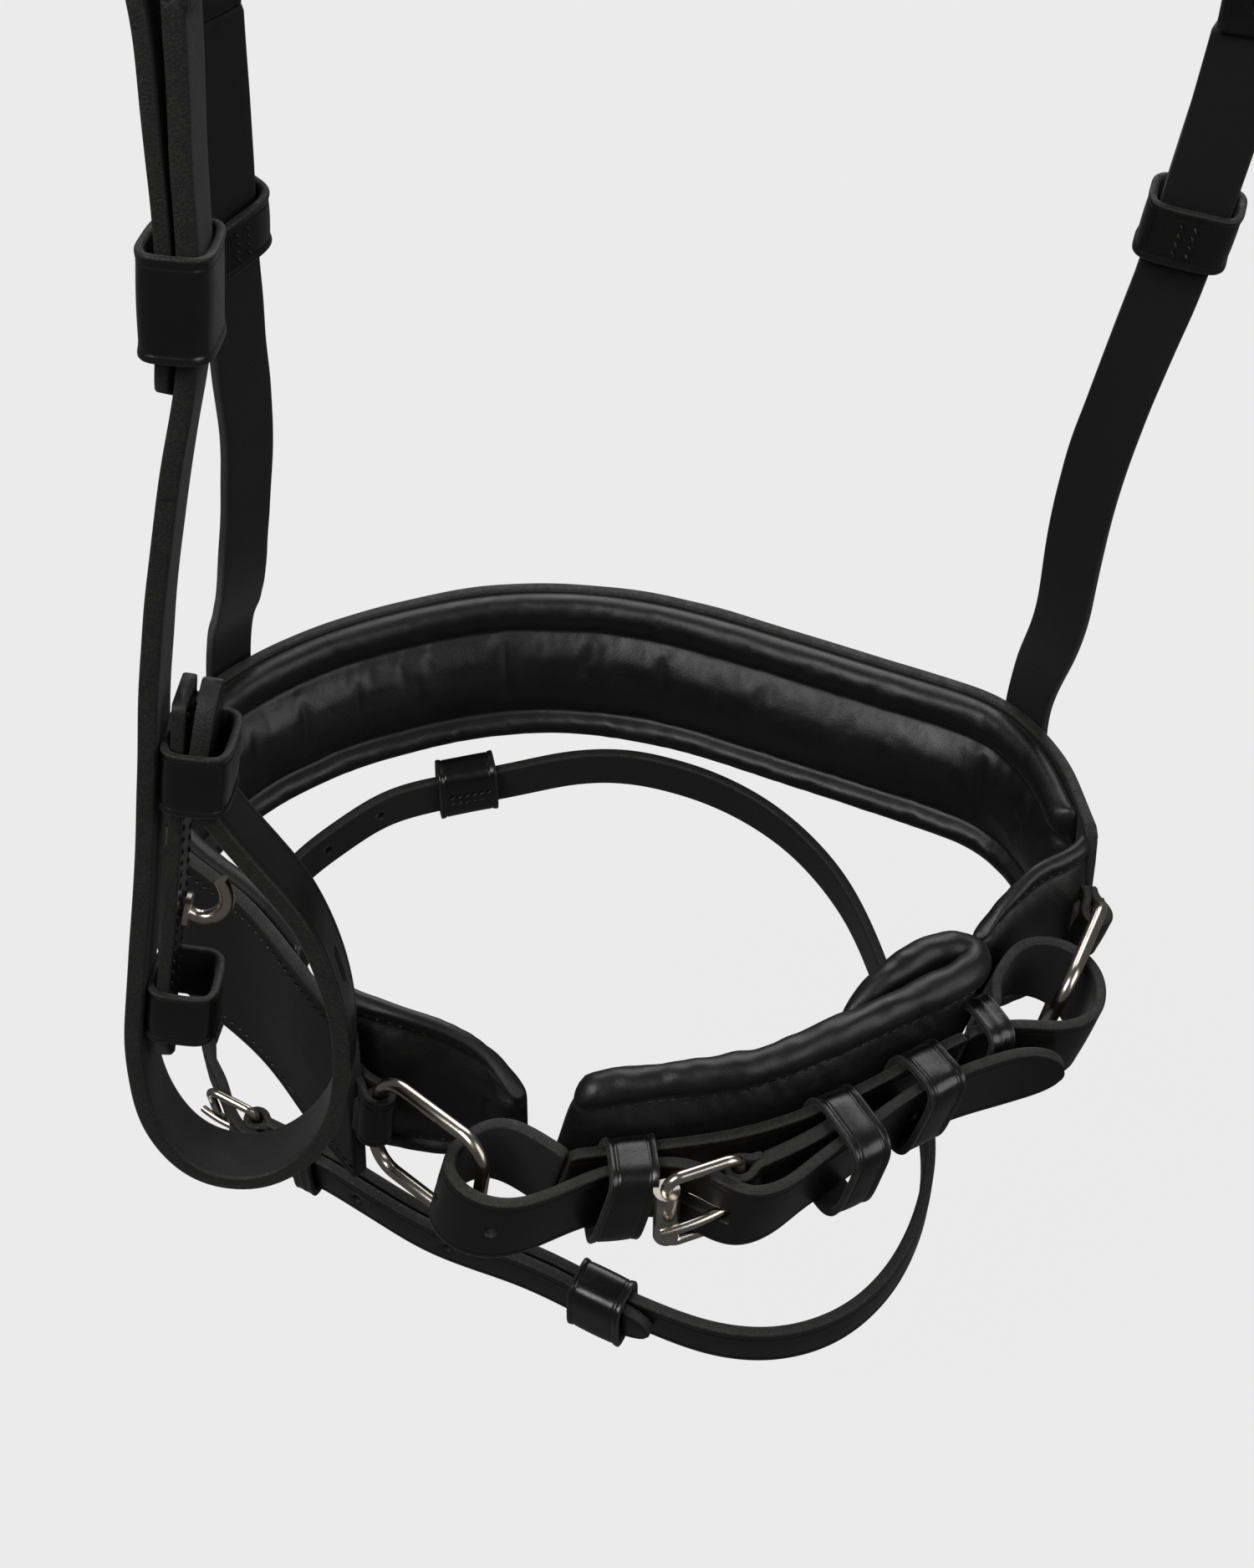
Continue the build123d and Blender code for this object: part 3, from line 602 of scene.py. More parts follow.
def grid_faces(rows: int, columns: int, closed: bool) -> list[tuple[int, ...]]:
    """Return the quads of a tube-like grid whose columns wrap, and its end caps unless closed."""
    faces = []
    last = rows if closed else rows - 1
    for row in range(last):
        low = row * columns
        high = ((row + 1) % rows) * columns
        for column in range(columns):
            right = (column + 1) % columns
            faces.append((low + column, low + right, high + right, high + column))
    if not closed:
        faces.append(tuple(range(columns - 1, -1, -1)))
        faces.append(tuple((rows - 1) * columns + column for column in range(columns)))
    return faces


def outward(piece: bpy.types.Object) -> None:
    """Turn every face of a closed piece outward."""
    work = bmesh.new()
    work.from_mesh(piece.data)
    bmesh.ops.recalc_face_normals(work, faces=work.faces)
    work.to_mesh(piece.data)
    work.free()


def carve(piece: bpy.types.Object, cutters: list[Cut]) -> None:
    """Cut openings through a piece.

    Args:
        piece: The piece to cut.
        cutters: A centre, two directions and sizes for each cut; a size of (d, 0, reach) is a
            round hole along the cross of the two directions, three sizes make a slot.
    """
    points = []
    faces = []
    sides = 20
    turn = np.arange(sides) * 2 * math.pi / sides
    for centre, first, second, size in cutters:
        third = np.cross(first, second)
        if size[1] == 0:
            flat = np.stack([np.cos(turn), np.sin(turn)], axis=-1) * size[0] / 2
        else:
            end = size[1] / 2
            flat = np.stack([np.cos(turn) * end, np.sin(turn) * end], axis=-1)
            flat[:, 0] += np.sign(np.cos(turn) + 1e-9) * (size[0] / 2 - end)
        base = len(points)
        for level in (-size[2] / 2, size[2] / 2):
            for spot in flat:
                points.append(centre + first * spot[0] + second * spot[1] + third * level)
        faces += [tuple(base + corner for corner in face) for face in grid_faces(2, sides, False)]
    cutter = BENCH.mesh("cutter", np.array(points), faces, [0] * len(faces), np.ones(len(points)),
                        [BENCH.edge])
    outward(cutter)
    outward(piece)
    modifier = piece.modifiers.new("punch", "BOOLEAN")
    modifier.object = cutter
    modifier.operation = "DIFFERENCE"
    modifier.solver = "EXACT"
    bpy.context.view_layer.update()
    graph = bpy.context.evaluated_depsgraph_get()
    cut = bpy.data.meshes.new_from_object(piece.evaluated_get(graph))
    piece.modifiers.clear()
    piece.data = cut
    bpy.data.objects.remove(cutter)


@dataclass
class Strap:
    """A strip of bridle leather with rounded edges, tooled crease lines and punched holes."""

    name: str
    run: Run
    width: float
    leather: float
    grain: int = 1
    first: Tip = Tip.SQUARE
    last: Tip = Tip.SQUARE
    holes: list[float] = field(default_factory=list)
    hole_size: float = 3.2
    flare: float = 0.0
    uneven: float = 0.12
    boned: bool = False

    def profile(self) -> list[tuple[float, float, Face, float]]:
        """Return the section: place across, depth, surface and lighter painted tone of each point, which stands
        for rubbing and for a painted highlight along the edges.
        """
        half = self.width / 2
        deep = self.leather / 2
        corner = min(EDGE_ROUND, deep * EDGE_SHARE)
        line = half - CREASE_INSET
        # The fourth number paints a lighter tone: on corners, edges and crease shoulders it is partly rubbing
        # and partly a painted highlight along the rounded edges.
        top = [(-half + corner, deep, Face.GRAIN, 0.8), (-half + corner + 0.5, deep, Face.GRAIN, 0.25)]
        if self.width > CREASED_FROM:
            top += [(-line - CREASE_HALF, deep, Face.GRAIN, 0.3), (-line, deep - CREASE_SINK, Face.GRAIN, 0.0),
                    (-line + CREASE_HALF, deep, Face.GRAIN, 0.3)]
        inner = [(share * (line - 0.8), deep + SKIN_CROWN * (1 - share * share), Face.GRAIN, 0.0)
                 for share in np.linspace(-1, 1, 7)]
        mirrored = [(-place, depth, kind, wear_and_highlight) for place, depth, kind, wear_and_highlight in reversed(top)]
        right = [(half - corner * (1 - math.sin(turn)), (deep - corner) + corner * math.cos(turn),
                  Face.EDGE, 1.0) for turn in EDGE_TURNS]
        right += [(place, -depth, kind, 0.9) for place, depth, kind, wear_and_highlight in reversed(right)]
        bottom = [(share * (half - corner), -deep, Face.FLESH, 0.5 if abs(share) > 0.9 else 0.1)
                  for share in np.linspace(1, -1, 8)]
        left = [(-place, depth, kind, wear_and_highlight) for place, depth, kind, wear_and_highlight in reversed(right)]
        return top + inner + mirrored + right + bottom + left

    def taper(self, walk: np.ndarray) -> np.ndarray:
        """Return how wide the strap is at each row, as a share."""
        share = np.ones(len(walk))
        for tip, gone in ((self.first, walk), (self.last, walk[-1] - walk)):
            square = tip is Tip.SQUARE
            reach = SQUARE_REACH if square else self.width * EGG_REACH
            low = SQUARE_END if square else EGG_END
            near = np.clip(1 - gone / reach, 0, 1)
            share = np.minimum(share, np.maximum(low, np.sqrt(np.clip(1 - near ** EGG_CURVE, 0, 1))))
        return share

    def build(self, nodes: tuple[str, ...] = (), body: str = BODY,
              slots: list[Cut] = ()) -> bpy.types.Object:
        """Sweep the section along the run, punch it and sign it over.

        Args:
            nodes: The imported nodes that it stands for.
            body: The body that it rides on.
            slots: Further cuts, as carve takes them.

        Returns:
            The strap.
        """
        section = self.profile()
        run = self.run
        walk = run.walk()
        wide = np.ones(len(walk)) if run.closed else self.taper(walk)
        place = np.array([row[0] for row in section])
        depth = np.array([row[1] for row in section]) * self.grain
        lift = self.flare * np.clip(np.abs(place) / (self.width / 2) * 3 - 2, 0, 1) ** 1.5 * self.grain
        spots = swept(run.points, run.across, wide[:, None] * place, run.normal, (depth + lift)[None, :])
        wear_and_highlight = np.tile([row[3] for row in section], (len(walk), 1))
        holes = []
        for share in self.holes:
            centre, across, normal = run.spot(share)
            along = np.cross(across, normal)
            outside = centre + normal * self.grain * self.leather / 2
            near = np.linalg.norm(spots - outside, axis=2)
            sink = HOLE_SINK * np.exp(-(near / (self.hole_size * HOLE_SPREAD)) ** HOLE_FALL)
            spots -= normal * self.grain * sink[:, :, None]
            # Paint a lighter ring round each hole: partly rubbing from the tongue, partly a painted highlight
            # on the rim.
            wear_and_highlight = np.maximum(wear_and_highlight, np.clip(1.6 - near / self.hole_size, 0, 1) * 0.7)
            holes.append((centre, unit(along), unit(across), (self.hole_size, 0, self.leather * 2.4)))
        points = spots.reshape(-1, 3)
        if self.uneven:
            ripple = np.array([noise.noise_vector(Vector(point * RIPPLE_PITCH)) for point in points])
            points = points + ripple * self.uneven
        kinds = [row[2].value for row in section]
        faces = grid_faces(len(walk), len(section), run.closed)
        quads = len(faces) - (0 if run.closed else 2)
        shown = [kinds[index % len(section)] for index in range(quads)]
        shown += [Face.EDGE.value] * (len(faces) - quads)
        skin = BENCH.boned if self.boned else BENCH.grain
        piece = BENCH.mesh(self.name, points, faces, shown, wear_and_highlight.ravel(), [skin, BENCH.flesh, BENCH.edge])
        outward(piece)
        if holes or slots:
            carve(piece, holes + list(slots))
        return BENCH.sign(piece, "leather", nodes, body)


@dataclass
class Stitching:
    """A row of saddle stitches lying in the leather."""

    name: str
    pitch: float = 3.1
    stitch: float = 2.3
    thread: float = 0.34
    slant: float = 0.12
    seed: int = 7

    def build(self, rows: list[tuple[np.ndarray, np.ndarray]], body: str = BODY) -> bpy.types.Object:
        """Sew along rows of points with their facing directions.

        Args:
            rows: Points and normals of each row.
            body: The body that the thread rides on.

        Returns:
            One object with every stitch.
        """
        draw = np.random.RandomState(self.seed)
        points = []
        faces = []
        sides = 6
        rings = ((-0.5, 0.25), (-0.36, 0.85), (0.0, 1.0), (0.36, 0.85), (0.5, 0.25))
        tube = grid_faces(len(rings), sides, False)
        look = 0.8
        for line, normals in rows:
            walk = walked(line)
            for gone in np.arange(self.pitch * 0.6, walk[-1] - self.pitch * 0.4, self.pitch):
                middle = read_off(gone, walk, line)
                facing = unit(read_off(gone, walk, normals))
                ahead = read_off(gone + look, walk, line) - read_off(gone - look, walk, line)
                ahead = square_to(ahead, facing)
                side = np.cross(facing, ahead)
                ahead = unit(ahead + side * (self.slant + draw.uniform(-0.05, 0.05)))
                side = np.cross(facing, ahead)
                base = len(points)
                for along, fat in rings:
                    sink = (abs(along) * 2) ** 2.5 * self.thread * 1.1
                    centre = middle + ahead * along * self.stitch + facing * (self.thread * 0.35 - sink)
                    for turn in range(sides):
                        angle = 2 * math.pi * turn / sides
                        out = side * math.cos(angle) + facing * math.sin(angle)
                        points.append(centre + out * self.thread * fat)
                faces += [tuple(base + corner for corner in face) for face in tube]
        piece = BENCH.mesh(self.name, np.array(points), faces, [0] * len(faces), np.zeros(len(points)),
                           [BENCH.thread])
        return BENCH.sign(piece, "leather", (), body)


def seam_on(run: Run, place: float, depth: float, start: float = 0.0, stop: float = 1.0,
            side: int = 1) -> tuple[np.ndarray, np.ndarray]:
    """Return a stitch row on a run at a place across and a height above its middle."""
    low = int(start * (len(run.points) - 1))
    high = int(stop * (len(run.points) - 1)) + 1
    line = run.points + run.across * place + run.normal * depth * side
    return line[low:high], run.normal[low:high] * side


@dataclass
class Keeper:
    """A closed leather loop that holds straps together."""

    name: str
    centre: np.ndarray
    ahead: np.ndarray
    across: np.ndarray
    normal: np.ndarray
    inner_width: float
    inner_depth: float
    length: float
    leather: float = 1.8
    corner: float = 2.6
    seam_angle: float = 90.0
    squareness: float = 4.5
    drawn_in: float = 0.02

    @classmethod
    def on_line(cls, name: str, board: Board, line: Line, share: float, inside: float, outside: float,
                width: float, length: float, lean: Spot, seam: float = 90.0) -> "Keeper":
        """Put a keeper round everything that lies between two offsets of a plan line.

        Args:
            name: The piece's name.
            board: The board that the line is drawn on.
            line: The plan line.
            share: Where along the line.
            inside: Offset of the inner face on the left.
            outside: Offset of the inner face on the right.
            width: Room across.
            length: Length along the strap.
            lean: Direction of the strap's width.
            seam: Angle of the sewn side, 90 on the left of the line.

        Returns:
            The keeper.
        """
        heading = line.heading(np.array([share]))
        side = left_of(heading)
        middle = board.place(line.at(np.array([share])) + side * (inside + outside) / 2)[0]
        ahead = board.turn(heading)[0]
        return cls(name, middle, ahead, unit(lean), board.turn(side)[0], width, inside - outside, length,
                   seam_angle=seam)

    def ring(self) -> Run:
        """Return the closed run of the loop: a rounded oblong with slightly swollen sides."""
        half_width = (self.inner_width + self.leather) / 2
        half_depth = (self.inner_depth + self.leather) / 2
        corner = min(self.corner, half_depth * 0.9)
        turn = np.linspace(0, 2 * math.pi, 97)[:-1]
        power = self.squareness
        flat = []
        for angle in turn:
            x = math.cos(angle)
            y = math.sin(angle)
            scale = (abs(x) ** power + abs(y) ** power) ** (-1 / power)
            flat.append((x * scale * half_width, y * scale * half_depth))
        flat = np.array(flat)
        spread = np.array([corner / half_width, corner / half_depth])
        flat = flat * (1 - self.drawn_in * spread)
        points = self.centre + flat[:, :1] * self.across + flat[:, 1:] * self.normal
        gone = unit(np.roll(flat, -1, axis=0) - np.roll(flat, 1, axis=0))
        out = gone[:, 1:] * self.across - gone[:, :1] * self.normal
        along = np.tile(self.ahead, (len(flat), 1))
        return Run(points, along, unit(out), closed=True)

    def build(self, nodes: tuple[str, ...], body: str = BODY) -> bpy.types.Object:
        """Make the loop and the whip stitches of its sewn side."""
        run = self.ring()
        strap = Strap(self.name, run, self.length, self.leather, flare=0.45, uneven=0.35, boned=True)
        piece = strap.build(nodes, body)
        index = int(round(self.seam_angle / 360 * len(run.points))) % len(run.points)
        rows = []
        for shift in (-1.5, 1.5):
            spot = run.points[index] + np.cross(run.normal[index], run.across[index]) * shift
            reach = np.linspace(-self.length / 2 + 1.6, self.length / 2 - 1.6, 8)
            line = spot + run.across[index] * reach[:, None] + run.normal[index] * (self.leather / 2 + 0.1)
            rows.append((line, np.tile(run.normal[index], (8, 1))))
        Stitching(self.name + "_thread", pitch=2.3, stitch=2.2, slant=0.55).build(rows, body)
        return piece


@dataclass
class Cushion:
    """A stuffed nappa form on a run: panels between sewn channels, swollen by cloth simulation."""

    name: str
    run: Run
    width: float
    depth: float
    channels: list[float]
    side: int = -1
    end_round: float = 7.0
    growth: float = 0.03
    pressure: float = 4.0
    cap: float = 1.8
    columns: int = 40
    rise: list[Spot] = field(default_factory=list)
    back: float = 0.0
    fullness: float = 0.42
    pinch: float = 0.50
    eased: int = 7

    def panel_depth(self, place: np.ndarray) -> np.ndarray:
        """Return the stuffed depth at places across, pinched at every channel and edge."""
        marks = [-self.width / 2] + self.channels + [self.width / 2]
        deep = np.zeros(len(place))
        for low, high in zip(marks[:-1], marks[1:]):
            inside = (place >= low) & (place <= high)
            share = np.clip((place[inside] - low) / (high - low), 0, 1)
            swell = np.clip(np.sin(share * math.pi), 0, 1) ** self.fullness
            foot = self.pinch if low > -self.width / 2 else 0.0
            foot_high = self.pinch if high < self.width / 2 else 0.0
            base = foot + (foot_high - foot) * share
            deep[inside] = base + (1.0 - base) * swell
        return deep

    def build(self, nodes: tuple[str, ...]) -> bpy.types.Object:
        """Shape, stuff, gather and sew the cushion.

        Args:
            nodes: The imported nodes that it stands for.

        Returns:
            The cushion.
        """
        run = self.run
        rows = len(run.points)
        walk = run.walk()
        ends = np.minimum(walk, walk[-1] - walk)
        swell = np.clip(1 - (1 - np.clip(ends / self.end_round, 0, 1)) ** 2, 0.0004, 1) ** 0.5
        share = walk / walk[-1]
        top = np.ones(rows)
        low = np.ones(rows)
        if self.rise:
            marks = [row[0] for row in self.rise]
            blur = np.hanning(2 * self.eased + 1)
            blur = blur / blur.sum()
            top, low = (np.convolve(np.pad(np.interp(share, marks, [row[column] for row in self.rise]),
                                           self.eased, "edge"), blur, "valid") for column in (1, 2))
        front = np.linspace(-self.width / 2, self.width / 2, self.columns)
        for channel in self.channels:
            front[int(np.argmin(np.abs(front - channel)))] = channel
        deep = self.panel_depth(front) * self.depth
        back = np.linspace(self.width / 2, -self.width / 2, 22 if self.back else 8)[1:-1]
        crown = np.sqrt(np.clip(1 - (back / (self.width / 2)) ** 4, 0, 1)) * self.back
        place = np.concatenate([front, back])
        depth = np.concatenate([deep, -crown])
        stretch = np.where(place[None, :] > 0, top[:, None], low[:, None])
        spots = swept(run.points, run.across, place[None, :] * stretch, run.normal,
                      self.side * depth[None, :] * swell[:, None])
        points = spots.reshape(-1, 3)
        sewn = np.zeros((rows, len(place)), dtype=bool)
        sewn[:, len(front):] = self.back == 0
        sewn[:, 0] = True
        sewn[:, len(front) - 1] = True
        for channel in self.channels:
            sewn[:, int(np.argmin(np.abs(front - channel)))] = True
        sewn[:2] = True
        sewn[-2:] = True
        faces = grid_faces(rows, len(place), False)
        wear_and_highlight = np.zeros((rows, len(place)))
        piece = BENCH.mesh(self.name, points, faces, [0] * len(faces), wear_and_highlight.ravel(), [BENCH.nappa])
        outward(piece)
        self.stuff(piece, sewn.ravel())
        self.gather(piece, run, front, rows, len(place))
        smooth = piece.modifiers.new("soft", "SUBSURF")
        smooth.levels = 1
        smooth.render_levels = 1
        if self.channels:
            lines = []
            data = vertex_places(piece.data).reshape(rows, len(place), 3) / MM
            for channel in self.channels:
                column = int(np.argmin(np.abs(front - channel)))
                line = data[3:-3, column] + run.normal[3:-3] * self.side * 0.12
                lines.append((line, run.normal[3:-3] * self.side))
            Stitching(self.name + "_thread", slant=0.05, thread=0.3).build(lines)
        return BENCH.sign(piece, "lining", nodes, BODY, STUFFING)

    def stuff(self, piece: bpy.types.Object, sewn: np.ndarray) -> None:
        """Swell the free panels with a short pressure simulation, held at the sewn points.

        Args:
            piece: The cushion.
            sewn: Which vertices are held.
        """
        data = piece.data
        start = vertex_places(data)
        data.vertices.foreach_set("co", start * CLOTH_SCALE)
        data.update()
        held = piece.vertex_groups.new(name="sewn")
        held.add([int(index) for index in np.nonzero(sewn)[0]], 1.0, "REPLACE")
        cloth = piece.modifiers.new("stuffing", "CLOTH")
        settings = cloth.settings
        settings.vertex_group_mass = "sewn"
        settings.quality = 5
        settings.mass = 0.25
        settings.tension_stiffness = 18
        settings.compression_stiffness = 18
        settings.shear_stiffness = 8
        settings.bending_stiffness = 0.6
        settings.use_pressure = True
        settings.uniform_pressure_force = self.pressure
        settings.shrink_min = -self.growth
        settings.effector_weights.gravity = 0
        cloth.collision_settings.use_collision = False
        cloth.point_cache.frame_start = 1
        cloth.point_cache.frame_end = CLOTH_FRAMES
        scene = bpy.context.scene
        for moment in range(1, CLOTH_FRAMES + 1):
            scene.frame_set(moment)
        graph = bpy.context.evaluated_depsgraph_get()
        result = piece.evaluated_get(graph).to_mesh()
        end = vertex_places(result)
        piece.evaluated_get(graph).to_mesh_clear()
        piece.modifiers.clear()
        piece.vertex_groups.clear()
        scene.frame_set(1)
        move = (end / CLOTH_SCALE - start).reshape(-1, 3)
        size = np.linalg.norm(move, axis=1, keepdims=True)
        limit = self.cap * MM
        move = move * np.where(size > limit, limit / np.maximum(size, 1e-9), 1.0)
        data.vertices.foreach_set("co", start + move.ravel())
        data.update()
        LOG.info("stuffed %s, largest swell %.2f mm", self.name, float(size.max() / MM))

    def gather(self, piece: bpy.types.Object, run: Run, front: np.ndarray, rows: int, columns: int) -> None:
        """Pucker the leather beside each channel, as a drawn thread does."""
        data = piece.data
        co = vertex_places(data).reshape(rows, columns, 3)
        walk = run.walk()
        for row in range(rows):
            for column, place in enumerate(front):
                pull = sum(math.exp(-abs(place - channel) / 3.2) * (1 - math.exp(-abs(place - channel) / 1.0))
                           for channel in self.channels)
                seed = noise.noise(Vector((walk[row] * 0.30, place * 0.05, len(self.name) * 3.7)))
                slow = noise.noise(Vector((walk[row] * 0.045, place * 0.09, 5.1 + len(self.name))))
                lift = pull * seed * 0.9 + slow * 0.55
                edge = min(column, len(front) - 1 - column)
                if edge > 0:
                    co[row, column] += run.normal[row] * self.side * lift * MM * min(1.0, edge / 3)
        data.vertices.foreach_set("co", co.reshape(-1))
        data.update()


def folded(name: str, origin: tuple[float, ...], x_dir: np.ndarray, bar: np.ndarray, bar_radius: float,
           leather: float, tail: float, width: float, slot: float) -> bpy.types.Object:
    """Fold a piece of leather round a bar and lay its two tails together.

    Args:
        name: The piece's name.
        origin: A point on the bar.
        x_dir: The direction away from the tails.
        bar: The bar's direction.
        bar_radius: The bar's radius.
        leather: Thickness of the leather.
        tail: Length of the tails.
        width: Width along the bar.
        slot: Width of the slot for a tongue, or 0.

    Returns:
        The folded piece.
    """
    bar = unit(bar)
    ahead = square_to(x_dir, bar)
    side = np.cross(bar, ahead)
    reach = bar_radius + 0.35 + leather / 2
    close = leather / 2 + 0.1
    flat = [(-tail - 1, close), (-tail * 0.6 - 0.8, close * 1.05), (-reach * 0.55, reach * 0.92), (0.1, reach),
            (reach * 0.72, reach * 0.70), (reach, 0), (reach * 0.72, -reach * 0.70), (0.1, -reach),
            (-reach * 0.55, -reach * 0.92), (-tail * 0.6 - 0.8, -close * 1.05), (-tail - 1, -close)]
    line = Line(flat)
    shares = np.linspace(0, 1, int(line.length / 0.7))
    spots = line.at(shares)
    out = left_of(line.heading(shares))
    points = np.array(origin) + spots[:, :1] * ahead + spots[:, 1:] * side
    normal = out[:, :1] * ahead + out[:, 1:] * side
    run = Run(points, np.tile(bar, (len(points), 1)), normal)
    cuts = []
    if slot:
        cuts.append((np.array(origin) + ahead * 1.0, ahead, bar, (2 * reach + leather + 3, slot, 4 * reach)))
    return Strap(name, run, width, leather, uneven=0.05).build((), BODY, cuts)


# ---- sub-assemblies ------------------------------------------------------------------------


@dataclass
class Noseband:
    """The crank noseband: its outer strap, quilted lining, padded end tab and ring chapes."""

    height: float = 45.0
    outer: float = 3.5
    lining: float = 7.2

    def build(self) -> None:
        """Make every piece of the noseband."""
        middle = Run.on_board(NOSE_BOARD, NOSE_LINE, self.outer / 2, 0, 1, NOSE_LEAN)
        Strap("noseband_outer", middle, self.height, self.outer, uneven=0.3).build(("noseband_outer_strap",))
        edge = self.height / 2 - SEAM_INSET
        Stitching("noseband_outer_thread").build([seam_on(middle, place, self.outer / 2)
                                                  for place in (edge, -edge)])
        back = Run.on_board(NOSE_BOARD, NOSE_LINE, -0.15, 0.066, 0.985, NOSE_LEAN, 1.7)
        Cushion("noseband_lining", back, self.height + 1.0, self.lining, [-14.5, 12.5], growth=0.006,
                pressure=2.0, cap=1.2).build(("noseband_padded_lining",))
        tab_back = Run.on_board(NOSE_BOARD, TAB_LINE, 3.0, 0.0, 1, NOSE_LEAN, 1.2)
        Cushion("left_end_tab", tab_back, self.height - 1, 3.4, [-16.5, 16.5], end_round=5.0,
                rise=[(0, 1.0, 1.0), (0.35, 0.98, 1.0), (0.6, 0.86, 0.97), (0.8, 0.62, 0.9), (0.93, 0.3, 0.75),
                      (1, 0.08, 0.5)],
                growth=0.008, pressure=2.0, cap=0.9, back=2.6).build(("left_padded_end_tab",))
        end_line = Line([(101, 6), (99.5, 3.5), (90, -3), (80, -9.5), (69, -17.5)])
        end = Run.on_board(NOSE_BOARD, end_line, 0.0, 0.0, 1, NOSE_LEAN, 1.2)
        Cushion("right_end_tab", end, self.height - 3, 3.0, [-15.5, 15.5], side=1, end_round=4.0,
                rise=[(0, 1.0, 1.0), (0.5, 0.96, 0.96), (0.8, 0.72, 0.85), (1, 0.35, 0.6)],
                growth=0.008, pressure=2.0, cap=0.9, back=2.4).build(())
        for name, origin, away, along_ring, tail in (
                ("left_chape", (-84.0, -66.0, NOSE_LEVEL), (0.62, -0.78, 0), (26.5, -22.5, 0), 11),
                ("right_chape", (102.5, -5.0, NOSE_LEVEL), (0.12, -0.99, 0), (-15.2, -31.0, 0), 8)):
            folded(name, origin, away, square_to(CRANK_LEAN, along_ring), 1.8, 2.2, tail, 15, 0)


